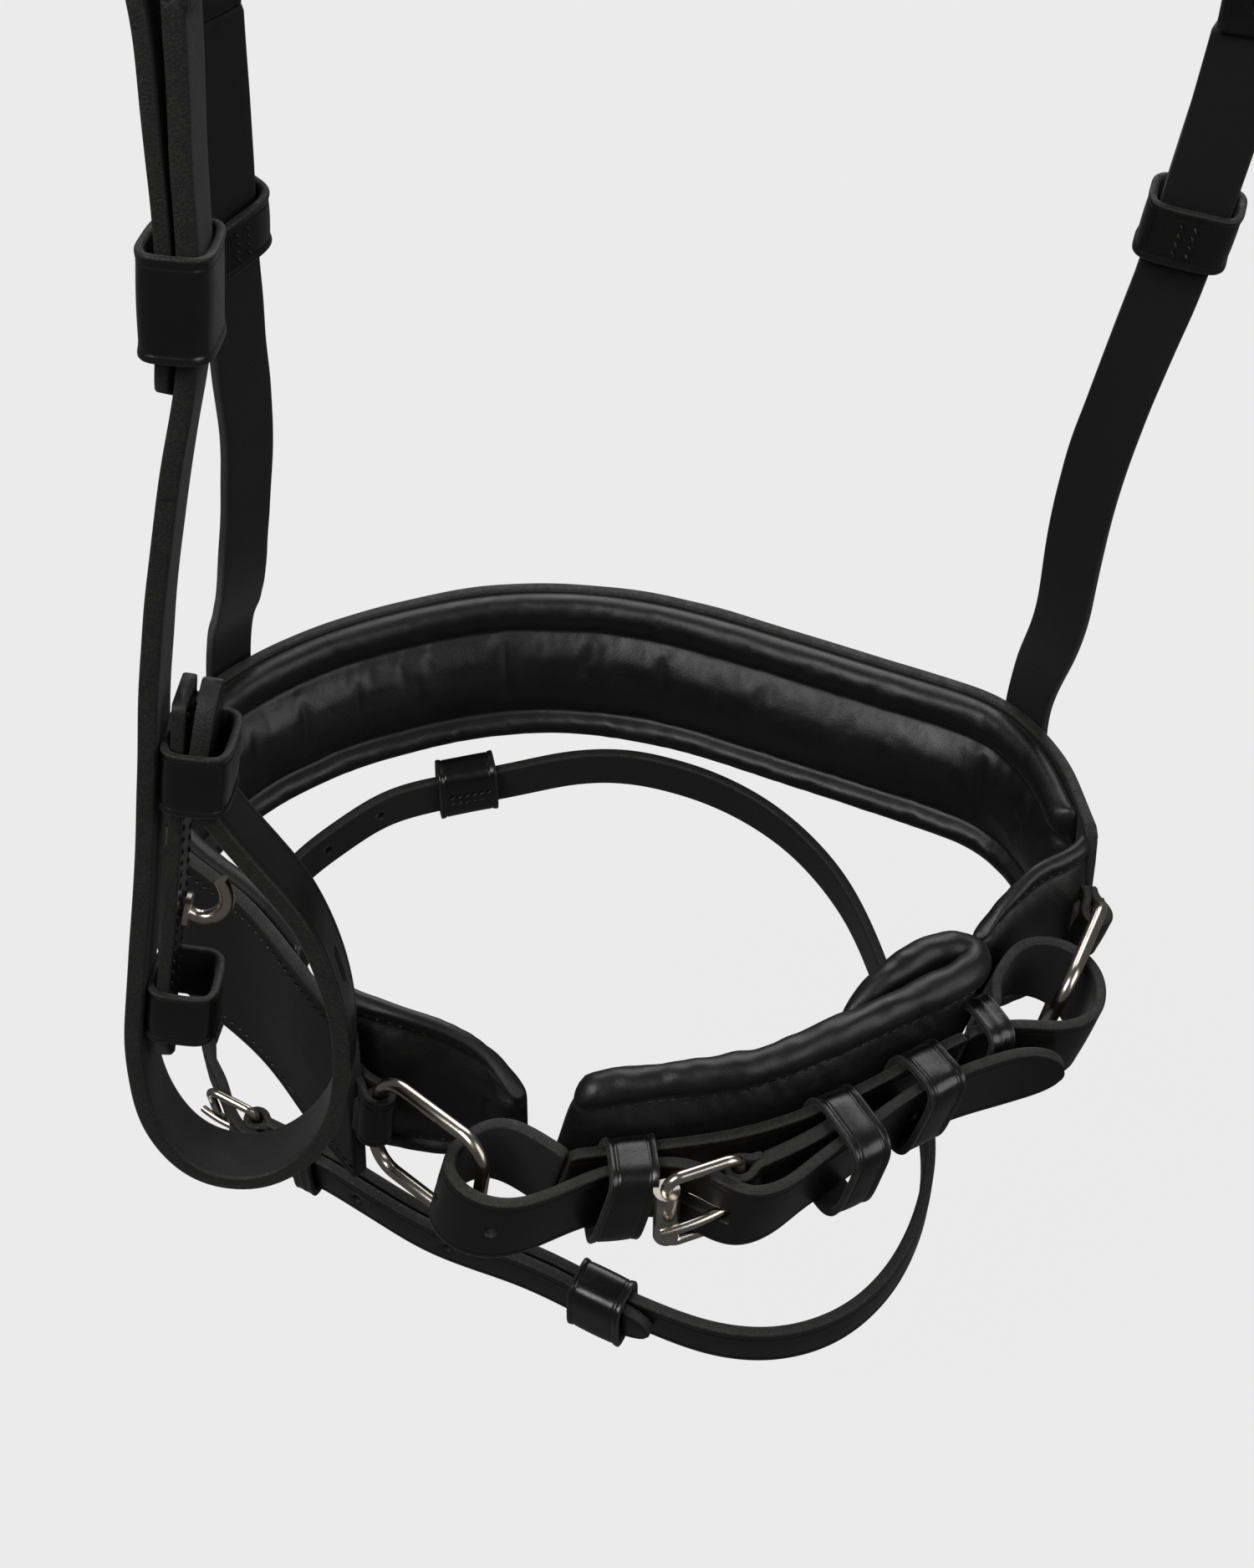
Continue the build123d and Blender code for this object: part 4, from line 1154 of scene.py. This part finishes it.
@dataclass
class CrankStrap:
    """The crank strap under the chin, with its pad, billet, turn-back and keepers."""

    width: float = 20.0
    leather: float = 3.0
    pad_height: float = 40.0
    rim_radius: float = 4.5

    def build(self) -> None:
        """Make the pad, the straps and the keepers."""
        pad_line = Line([(-38, -83.6), (-24, -81.7), (-10, -79.8), (5, -76.6), (28, -67), (48, -55), (60, -48),
                         (65, -44.5), (69, -41.5)])
        pad = Run.on_board(NOSE_BOARD, pad_line, 8.8, 0, 1, CRANK_LEAN, 1.2)
        Cushion("chin_cushion", pad, self.pad_height - 1, 4.4, [], end_round=5.0, cap=1.2,
                rise=[(0, 0.80, 0.8), (0.1, 0.9, 0.95), (0.9, 0.9, 0.95), (1, 0.86, 0.85)],
                growth=0.012, pressure=3.0, back=6.2).build(("chin_pad",))
        self.rim()
        chin = Run.on_board(NOSE_BOARD, CHIN_LINE, -self.leather / 2, 0, 1, CRANK_LEAN)
        Strap("chin_strap_leather", chin, self.width, self.leather, grain=-1).build(("chin_strap",))
        billet = Run.on_board(NOSE_BOARD, BILLET_LINE, 0, 0, 1, CRANK_LEAN, 1.0)
        rear = np.array([4.7, -87.6, NOSE_LEVEL])
        ahead = unit((-0.93, -0.36, 0))
        lean = square_to(CRANK_LEAN, ahead)
        Strap("crank_billet_leather", billet, self.width, self.leather, grain=-1, last=Tip.EGG,
              holes=[0.175, 0.255, 0.80], hole_size=3.4).build(
            ("crank_billet",), BODY, [(rear + ahead * 7, ahead, lean, (18, 4.0, 14))])
        folded("crank_turnback_fold", tuple(rear), (-0.9, -0.44, 0), lean, 1.5, 2.2, 6, self.width - 1.6, 4.0)
        back = Run.on_board(NOSE_BOARD, TURNBACK_LINE, 0, 0.13, 1, CRANK_LEAN)
        Strap("crank_turnback", back, self.width - 1, 3.8, grain=-1).build(("crank_buckle_turnback",))
        loop = Run.on_board(NOSE_BOARD, LOOP_LINE, 0, 0, 1, CRANK_LEAN, 1.0)
        Strap("right_loop_leather", loop, self.width, self.leather, grain=-1).build(("right_crank_loop",))
        room = self.width + 1.6
        for name, node, share, inside, outside, length in (
                ("chin_keeper_long", "long_chin_keeper", 0.13, 0.8, -12.4, 12),
                ("chin_keeper_middle", "middle_chin_keeper", 0.62, 0.8, -19.0, 10),
                ("chin_keeper_tip", "billet_tip_keeper", 0.86, 0.8, -12.8, 11)):
            Keeper.on_line(name, NOSE_BOARD, CHIN_LINE, share, inside, outside, room, length,
                           CRANK_LEAN).build((node,))
        ahead = unit((0.9, 0.44, 0))
        Keeper("loop_keeper_small", np.array([66.4, -45.4, NOSE_LEVEL]), ahead, unit(CRANK_LEAN),
               np.cross(UP, ahead), room, 14.2, 7).build(("small_loop_keeper",))

    def rim(self) -> None:
        """Make the soft roll along the pad's top, which turns back on itself at the right end."""
        line = Line([(-33.5, -74.5, -415.5), (-30.5, -72.2, -413.2), (-24, -70.4, -412.4), (-5.8, -68.0, -412),
                     (7, -65.6, -412), (22.3, -59.0, -412), (35.3, -52.2, -412), (48.7, -45.0, -412),
                     (59.6, -38.8, -412), (65.8, -33.0, -412.5), (66.4, -28.4, -413), (61.5, -26.8, -413),
                     (50.2, -31.6, -413), (41.7, -38.0, -414), (33, -45.5, -417)])
        count = int(line.length / 1.3)
        shares = np.linspace(0, 1, count)
        middle = line.at(shares)
        along = line.heading(shares)
        up = square_to(np.tile(UP, (count, 1)), along)
        side = np.cross(along, up)
        walk = shares * line.length
        slim = np.minimum(walk / 6 + 0.12, (line.length - walk) / 16 + 0.1)
        fat = self.rim_radius * np.clip(slim, 0, 1) ** 0.5
        fat *= 1 + 0.05 * np.sin(walk * 0.21) + 0.03 * np.sin(walk * 0.47 + 1)
        turns = np.linspace(0, 2 * math.pi, 25)[:-1]
        ring = np.stack([np.cos(turns), np.sin(turns)], axis=-1)
        points = swept(middle, side, fat[:, None] * ring[:, 0], up, fat[:, None] * ring[:, 1]).reshape(-1, 3)
        pucker = np.array([noise.noise(Vector((point[0] * 0.22, point[1] * 0.22, point[2] * 0.12)))
                           for point in points])
        points = points + np.repeat(up, len(turns), axis=0) * pucker[:, None] * 0.5
        faces = grid_faces(count, len(turns), False)
        piece = BENCH.mesh("chin_rim_roll", points, faces, [0] * len(faces), np.zeros(len(points)),
                           [BENCH.nappa])
        outward(piece)
        BENCH.sign(piece, "lining", (), BODY, 0.8)
        self.web(line)
        seam = middle[4:-9] + side[4:-9] * 3.3 - up[4:-9] * 3.4
        Stitching("chin_rim_thread", slant=0.1).build([(seam, unit(side[4:-9] - up[4:-9] * 0.6))])

    def web(self, line: Line) -> None:
        """Close the fold of the roll with the soft leather that lies between its two lengths."""
        turn = line.near((66.2, -30.5, -412.8))
        columns = 24
        ahead = line.at(np.linspace(turn - 0.24, turn, columns))
        behind = line.at(np.linspace(1.0, turn, columns))
        rows = 9
        points = []
        for row in range(rows):
            share = row / (rows - 1)
            sag = 3.4 * math.sin(share * math.pi)
            for first, second in zip(ahead, behind):
                spot = first * (1 - share) + second * share
                points.append(spot - np.array([0, 0, 1.2 + sag]))
        faces = []
        for row in range(rows - 1):
            for column in range(columns - 1):
                low = row * columns + column
                faces.append((low, low + 1, low + columns + 1, low + columns))
        piece = BENCH.mesh("chin_rim_fold", np.array(points), faces, [0] * len(faces), np.zeros(len(points)),
                           [BENCH.nappa])
        thick = piece.modifiers.new("leather", "SOLIDIFY")
        thick.thickness = 1.6 * MM
        thick.offset = 0.0
        BENCH.sign(piece, "lining", (), BODY, 0.3)


@dataclass
class FlashStrap:
    """The narrow flash strap, its loop on the noseband, buckle end and keepers."""

    width: float = 12.5
    leather: float = 3.0

    def build(self) -> None:
        """Make the strap, the buckle fold and the keepers."""
        long_run = Run.on_board(FLASH_BOARD, FLASH_LINE, -self.leather / 2, 0, 1, UP)
        holes = [FLASH_LINE.near(spot) for spot in
                 ((-112, -40), (-94, -49.5), (-69, -63.5), (-98, 69), (-112, 56.5), (-137, 6))]
        ahead = FLASH_BOARD.turn(np.array([-0.88, 0.47]))
        out = np.cross(ahead, FLASH_BOARD.z_dir) * -1
        eye = FLASH_BOARD.place(np.array([-123.8, -34.8]))
        bar = unit(FLASH_BOARD.z_dir)
        slot = (eye + unit(ahead) * 5.5, unit(ahead), bar, (13, 3.2, 11))
        Strap("flash_leather", long_run, self.width, self.leather, grain=-1, holes=holes).build(
            ("flash_strap",), BODY, [slot])
        start = FLASH_LINE.near((-106, -42))
        shares = np.linspace(start, 0.215, 9)
        beside = FLASH_LINE.at(shares) + left_of(FLASH_LINE.heading(shares)) * -(self.leather * 1.5 + 0.45)
        tip_line = Line([(-141.4, -5.5), (-139.2, -16), (-134.9, -24.0), (-131.2, -33.0), (-126.2, -39.6),
                         (-117, -43.8)] + [tuple(spot) for spot in beside])
        tip = Run.on_board(FLASH_BOARD, tip_line, 0, 0, 1, UP)
        tip_holes = [tip_line.near(spot) for spot in ((-94, -54.5), (-69, -68.5), (-139.0, -16))]
        Strap("flash_billet_leather", tip, self.width, self.leather, grain=-1, last=Tip.EGG,
              holes=tip_holes).build((), BODY, [slot])
        folded("flash_fold", tuple(eye), ahead, bar, 1.2, 2.0, 4, self.width, 3.2)
        for name, node, spot, inside, outside, room, length, body in (
                ("flash_keeper_chin", "flash_chin_keeper", (-27, -82), 1.0, -7.6, 2.4, 15, "flash_runner"),
                ("flash_keeper_buckle", "flash_buckle_keeper", (-106.5, -42), 0.4, -7.3, 1.2, 6, BODY),
                ("flash_carrier", "flash_carrier_loop", (-71, 78), 0.6, -6.7, 1.5, 18, BODY)):
            Keeper.on_line(name, FLASH_BOARD, FLASH_LINE, FLASH_LINE.near(spot), inside, outside,
                           self.width + room, length, UP).build((node,), body)


@dataclass
class Cheekpiece:
    """The cheekpiece with its open bit loop, the hook tab and its keepers."""

    width: float = 16.0
    leather: float = 4.0

    def build(self) -> None:
        """Make the strap, the tab and the keepers."""
        run = Run.on_board(CHEEK_BOARD, CHEEK_LINE, 0, 0, 1, CHEEK_ACROSS)
        stud = CHEEK_LINE.near((-88, -374))
        place, across, normal = run.spot(stud)
        along = np.cross(across, normal)
        Strap("cheek_leather", run, self.width, self.leather, grain=-1, last=Tip.EGG, uneven=0.25).build(
            ("cheekpiece_bit_loop",), BODY, [(place, unit(along), unit(across), (12, 3.2, 10))])
        eye = CHEEK_BOARD.place(np.array([-95.4, -158]))
        folded("cheek_fold", tuple(eye), (0.05, 0.19, 0.98), CHEEK_ACROSS, 1.4, 2.2, 8, self.width, 3.6)
        first = CHEEK_LINE.near((-117.8, -300))
        last = CHEEK_LINE.near((-134, -398))
        tab = Run.on_board(CHEEK_BOARD, CHEEK_LINE, 6.0, first, last, CHEEK_ACROSS)
        Strap("hook_tab", tab, self.width - 2, 3.0, last=Tip.EGG).build(("hook_stud_tab",))
        Stitching("hook_tab_thread").build([seam_on(tab, place, 1.55, 0.03, 0.9) for place in (4.6, -4.6)])
        for name, node, spot, inside, outside, room, length in (
                ("bit_loop_keeper_upper", "bit_loop_upper_keeper", (-120.7, -317), 15.3, 4.15, 1.0, 15),
                ("bit_loop_keeper_lower", "bit_loop_lower_keeper", (-131.8, -380), 16.0, 4.15, -0.8, 14),
                ("cheek_keeper_long", "cheek_long_keeper", (-99.6, -217), 2.5, -7.6, 3.0, 20)):
            Keeper.on_line(name, CHEEK_BOARD, CHEEK_LINE, CHEEK_LINE.near(spot), inside, outside,
                           self.width + room, length, CHEEK_ACROSS, 270.0).build((node,))


RIGHT_ACROSS = (0.95, -0.30, 0.0)
LEFT_ACROSS = (0.60, 0.80, 0.0)
LEFT_OVER = (-0.60, -0.80, 0.0)
RIGHT_EYE = (100.3, 19.6, -184.0)
LEFT_EYE = (-97.2, -4.5, -170.0)


@dataclass
class Hangers:
    """The straps that carry the noseband and the crown over the poll."""

    width: float = 15.0
    leather: float = 3.0
    pad: float = 9.0
    crown: float = 3.5
    outer: float = 3.5
    ease: float = 0.9

    def foot(self, spot: tuple[float, float]) -> list[Station]:
        """Return the two lowest stations of a hanger sewn to the noseband."""
        share = np.array([NOSE_LINE.near(spot)])
        place = NOSE_LINE.at(share)[0]
        heading = NOSE_LINE.heading(share)[0]
        reach = self.outer + self.ease + self.leather / 2
        spot_x, spot_y = place + left_of(heading) * reach
        slope = NOSE_LEAN[1] / NOSE_LEAN[2]
        across = (heading[0], heading[1], 0.0)
        return [((spot_x, spot_y + slope * height, NOSE_LEVEL + height), across) for height in (-22.5, 25.5)]

    def over_poll(self, first: float, last: float, count: int, start_y: float,
                  end_y: float) -> list[Station]:
        """Return stations of a strap lying on the crown."""
        shares = np.linspace(first, last, count + 1)
        lift = -(self.pad + self.crown + 0.35 + self.leather / 2)
        spots = POLL_LINE.at(shares) + left_of(POLL_LINE.heading(shares)) * lift
        return [((spot[0], start_y + (end_y - start_y) * index / count, spot[1]), (0.0, -1.0, 0.0))
                for index, spot in enumerate(spots)]

    def build(self) -> None:
        """Make the hangers, the headstraps, the crown and the poll pad."""
        right = Run.through(self.foot((88, 48.5)) + [
            ((93.2, 50.0, -374), (0.70, -0.71, 0)), ((91.2, 40.0, -321), (0.85, -0.50, 0)),
            ((95.4, 32.0, -268), RIGHT_ACROSS), ((98.1, 26.0, -235), RIGHT_ACROSS),
            ((99.9, 20.6, -193), RIGHT_ACROSS)])
        Strap("right_hanger_leather", right, self.width, self.leather, uneven=0.25).build(("right_hanger",))
        left = Run.through(self.foot((-133, 68)) + [
            ((-129.5, 66.0, -376), (0.68, 0.73, 0)), ((-121.0, 46.0, -344), (0.66, 0.75, 0)),
            ((-111.5, 31.0, -297), (0.62, 0.78, 0)), ((-107.6, 20.0, -266), LEFT_ACROSS),
            ((-103.0, 7.0, -226), LEFT_ACROSS), ((-99.2, -1.4, -196), LEFT_ACROSS),
            ((-97.6, -3.6, -179), LEFT_ACROSS)])
        Strap("left_hanger_leather", left, self.width, self.leather, uneven=0.25).build(("left_hanger",))
        folded("right_hanger_fold", RIGHT_EYE, (0.02, -0.06, 1), RIGHT_ACROSS, 1.4, 2.0, 8, self.width, 3.4)
        folded("left_hanger_fold", LEFT_EYE, (0.08, -0.2, 1), LEFT_ACROSS, 1.4, 2.0, 8, self.width, 3.4)
        self.headstraps()
        for name, node, centre, across, ahead, room, body in (
                ("right_hanger_loop", "right_hanger_keeper", (98.4, 28.6, -239), RIGHT_ACROSS,
                 (0.06, -0.17, 1), 3.2, "right_hanger_runner"),
                ("left_hanger_loop", "left_hanger_keeper", (-105.0, 8.8, -228), LEFT_ACROSS,
                 (0.11, -0.28, 1), 4.6, "left_hanger_runner")):
            along = unit(ahead)
            wide = square_to(across, along)
            Keeper(name, np.array(centre), along, wide, np.cross(along, wide), self.width + 1.4,
                   self.leather * 2 + room, 14, seam_angle=270.0).build((node,), body)

    def headstraps(self) -> None:
        """Make the two straps over the poll and what they lie on."""
        over = self.over_poll(0.0, 1.0, 12, 10, 5)
        nose = Run.through([
            ((97.2, 36.4, -268), RIGHT_ACROSS), ((98.9, 30.6, -240), RIGHT_ACROSS),
            ((100.8, 26.0, -208), RIGHT_ACROSS), ((102.2, 25.5, -191), RIGHT_ACROSS),
            ((102.2, 25.3, -181.5), RIGHT_ACROSS), ((100.8, 20.8, -175.2), RIGHT_ACROSS),
            ((99.1, 15.8, -169), RIGHT_ACROSS), ((98.8, 14.6, -156), RIGHT_ACROSS),
            ((98.6, 12.6, -122), (0.7, -0.7, 0))] + over + [
            ((-96.4, -2.9, -116), (-0.3, -0.95, 0)), ((-93.7, -7.2, -136), LEFT_OVER),
            ((-93.9, -7.1, -155), LEFT_OVER), ((-97.8, -4.0, -161.2), LEFT_OVER),
            ((-102.5, -0.5, -168), LEFT_OVER), ((-102.6, 0.2, -178), LEFT_OVER),
            ((-103.4, 1.6, -192), LEFT_OVER),
            ((-105.2, 5.8, -209), LEFT_OVER), ((-107.3, 11.6, -232), LEFT_OVER),
            ((-110.4, 19.6, -256), LEFT_OVER)])
        up = np.array(UP)
        cuts = [(np.array([100.4, 20.0, -178]), up, square_to(RIGHT_ACROSS, up), (20, 3.6, 18)),
                (np.array([-97.5, -4.3, -164]), up, square_to(LEFT_ACROSS, up), (20, 3.6, 18))]
        Strap("noseband_headstrap_leather", nose, self.width, self.leather, first=Tip.EGG, last=Tip.EGG,
              holes=[0.035, 0.075, 0.93, 0.965], hole_size=3.0).build(("noseband_headstrap",), BODY, cuts)
        cheek = Run.through(self.over_poll(0.04, 1.0, 11, -9, -12) + [
            (place, CHEEK_ACROSS) for place in (
                (-95.6, -19.2, -111), (-92.5, -23.3, -124.3), (-91.5, -25.7, -132.3), (-91.5, -26.7, -140.3),
                (-96.5, -28.3, -146.8), (-101.6, -29.9, -153.3), (-102.0, -32.1, -164.3),
                (-102.2, -34.6, -177), (-102.6, -37.2, -191),
                (-104.6, -42.0, -217), (-107.8, -45.0, -232))])
        ahead = unit((0, 0.19, 0.98))
        cut = (np.array([-96.1, -28.5, -147.3]), ahead, unit(CHEEK_ACROSS), (20, 3.6, 16))
        Strap("cheek_headstrap_leather", cheek, 16.0, self.leather, last=Tip.EGG, holes=[0.93, 0.965],
              hole_size=3.0).build(("cheek_headstrap",), BODY, [cut])
        crown = Run.on_board(POLL_BOARD, POLL_LINE, -self.pad - self.crown / 2, 0.03, 0.97, (0, 1, 0), 2.0)
        Strap("crown_leather", crown, 38.0, self.crown, grain=-1, uneven=0.3).build(("crown_strap",))
        Stitching("crown_thread").build([seam_on(crown, place, self.crown / 2, side=-1)
                                         for place in (15.8, -15.8)])
        under = Run.on_board(POLL_BOARD, POLL_LINE, -self.pad + 0.05, 0.08, 0.92, (0, 1, 0), 2.0)
        Cushion("poll_cushion", under, 42.0, self.pad - 0.6, [-14.0, 14.0], side=1).build(("poll_pad",))


@dataclass
class Hardware:
    """Rings, buckles, roller and hook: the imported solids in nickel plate."""

    words: tuple[str, ...] = ("_crank_ring", "_frame", "_tongue", "_roller", "hook_stud")

    def build(self) -> None:
        """Plate every metal node."""
        for name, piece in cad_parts.items():
            if name.endswith(self.words):
                piece.data.materials.clear()
                piece.data.materials.append(BENCH.nickel)
                LOG.info("plated %s", name)


@dataclass
class Studio:
    """Pale floor, soft lights and the camera."""

    floor_z: float = -0.66
    floor_half: float = 9.0
    lens: float = 57.6
    sensor: float = 36.0
    camera_place: Spot = (-0.022, -0.360, -0.020)
    camera_tilt: float = 45.0
    air_light: float = 0.10

    def build(self) -> None:
        """Set the floor, the lights and the camera."""
        paper = PaperFinish().make()
        data = bpy.data.meshes.new("floor")
        size = self.floor_half
        data.from_pydata([(-size, -size, self.floor_z), (size, -size, self.floor_z), (size, size, self.floor_z),
                          (-size, size, self.floor_z)], [], [(0, 1, 2, 3)])
        data.materials.append(paper)
        floor = bpy.data.objects.new("floor", data)
        floor.visible_glossy = False
        floor.visible_diffuse = False
        bpy.context.scene.collection.objects.link(floor)
        for name, place, aim, width, power in (
                ("key", (-0.9, -0.7, 1.1), (0, 0, -0.35), 1.0, 20),
                ("fill", (1.2, -0.6, 0.5), (0, 0, -0.35), 1.2, 9),
                ("back", (0.2, 1.5, 0.7), (0, 0, -0.35), 1.4, 16)):
            self.lamp(name, place, aim, width, power)
        world = bpy.data.worlds.new("studio_air")
        world.use_nodes = True
        world.node_tree.nodes["Background"].inputs["Color"].default_value = hex_colour("#f4f4f4")
        world.node_tree.nodes["Background"].inputs["Strength"].default_value = self.air_light
        bpy.context.scene.world = world
        bpy.context.scene.view_settings.view_transform = "Standard"
        lens = bpy.data.cameras.new("camera")
        lens.lens = self.lens
        lens.sensor_width = self.sensor
        lens.sensor_fit = "HORIZONTAL"
        lens.clip_start = 0.02
        lens.clip_end = 30.0
        camera = bpy.data.objects.new("camera", lens)
        camera.location = self.camera_place
        camera.rotation_euler = (math.radians(self.camera_tilt), 0, 0)
        bpy.context.scene.collection.objects.link(camera)
        bpy.context.scene.camera = camera

    def lamp(self, name: str, place: Spot, aim: Spot, width: float,
             power: float) -> None:
        """Hang one soft square lamp that looks at a point."""
        light = bpy.data.lights.new(name, "AREA")
        light.shape = "SQUARE"
        light.size = width
        light.energy = power
        lamp = bpy.data.objects.new(name, light)
        lamp.location = place
        lamp.rotation_euler = (Vector(aim) - Vector(place)).to_track_quat("-Z", "Y").to_euler()
        bpy.context.scene.collection.objects.link(lamp)


def main() -> None:
    """Build the headpiece in order."""
    logging.basicConfig(level=logging.INFO, format="%(name)s: %(message)s")
    BENCH.stock()
    Studio().build()
    Hardware().build()
    Noseband().build()
    CrankStrap().build()
    FlashStrap().build()
    Cheekpiece().build()
    Hangers().build()
    LOG.info("%d pieces", BENCH.made)


if __name__ == "__main__":
    main()
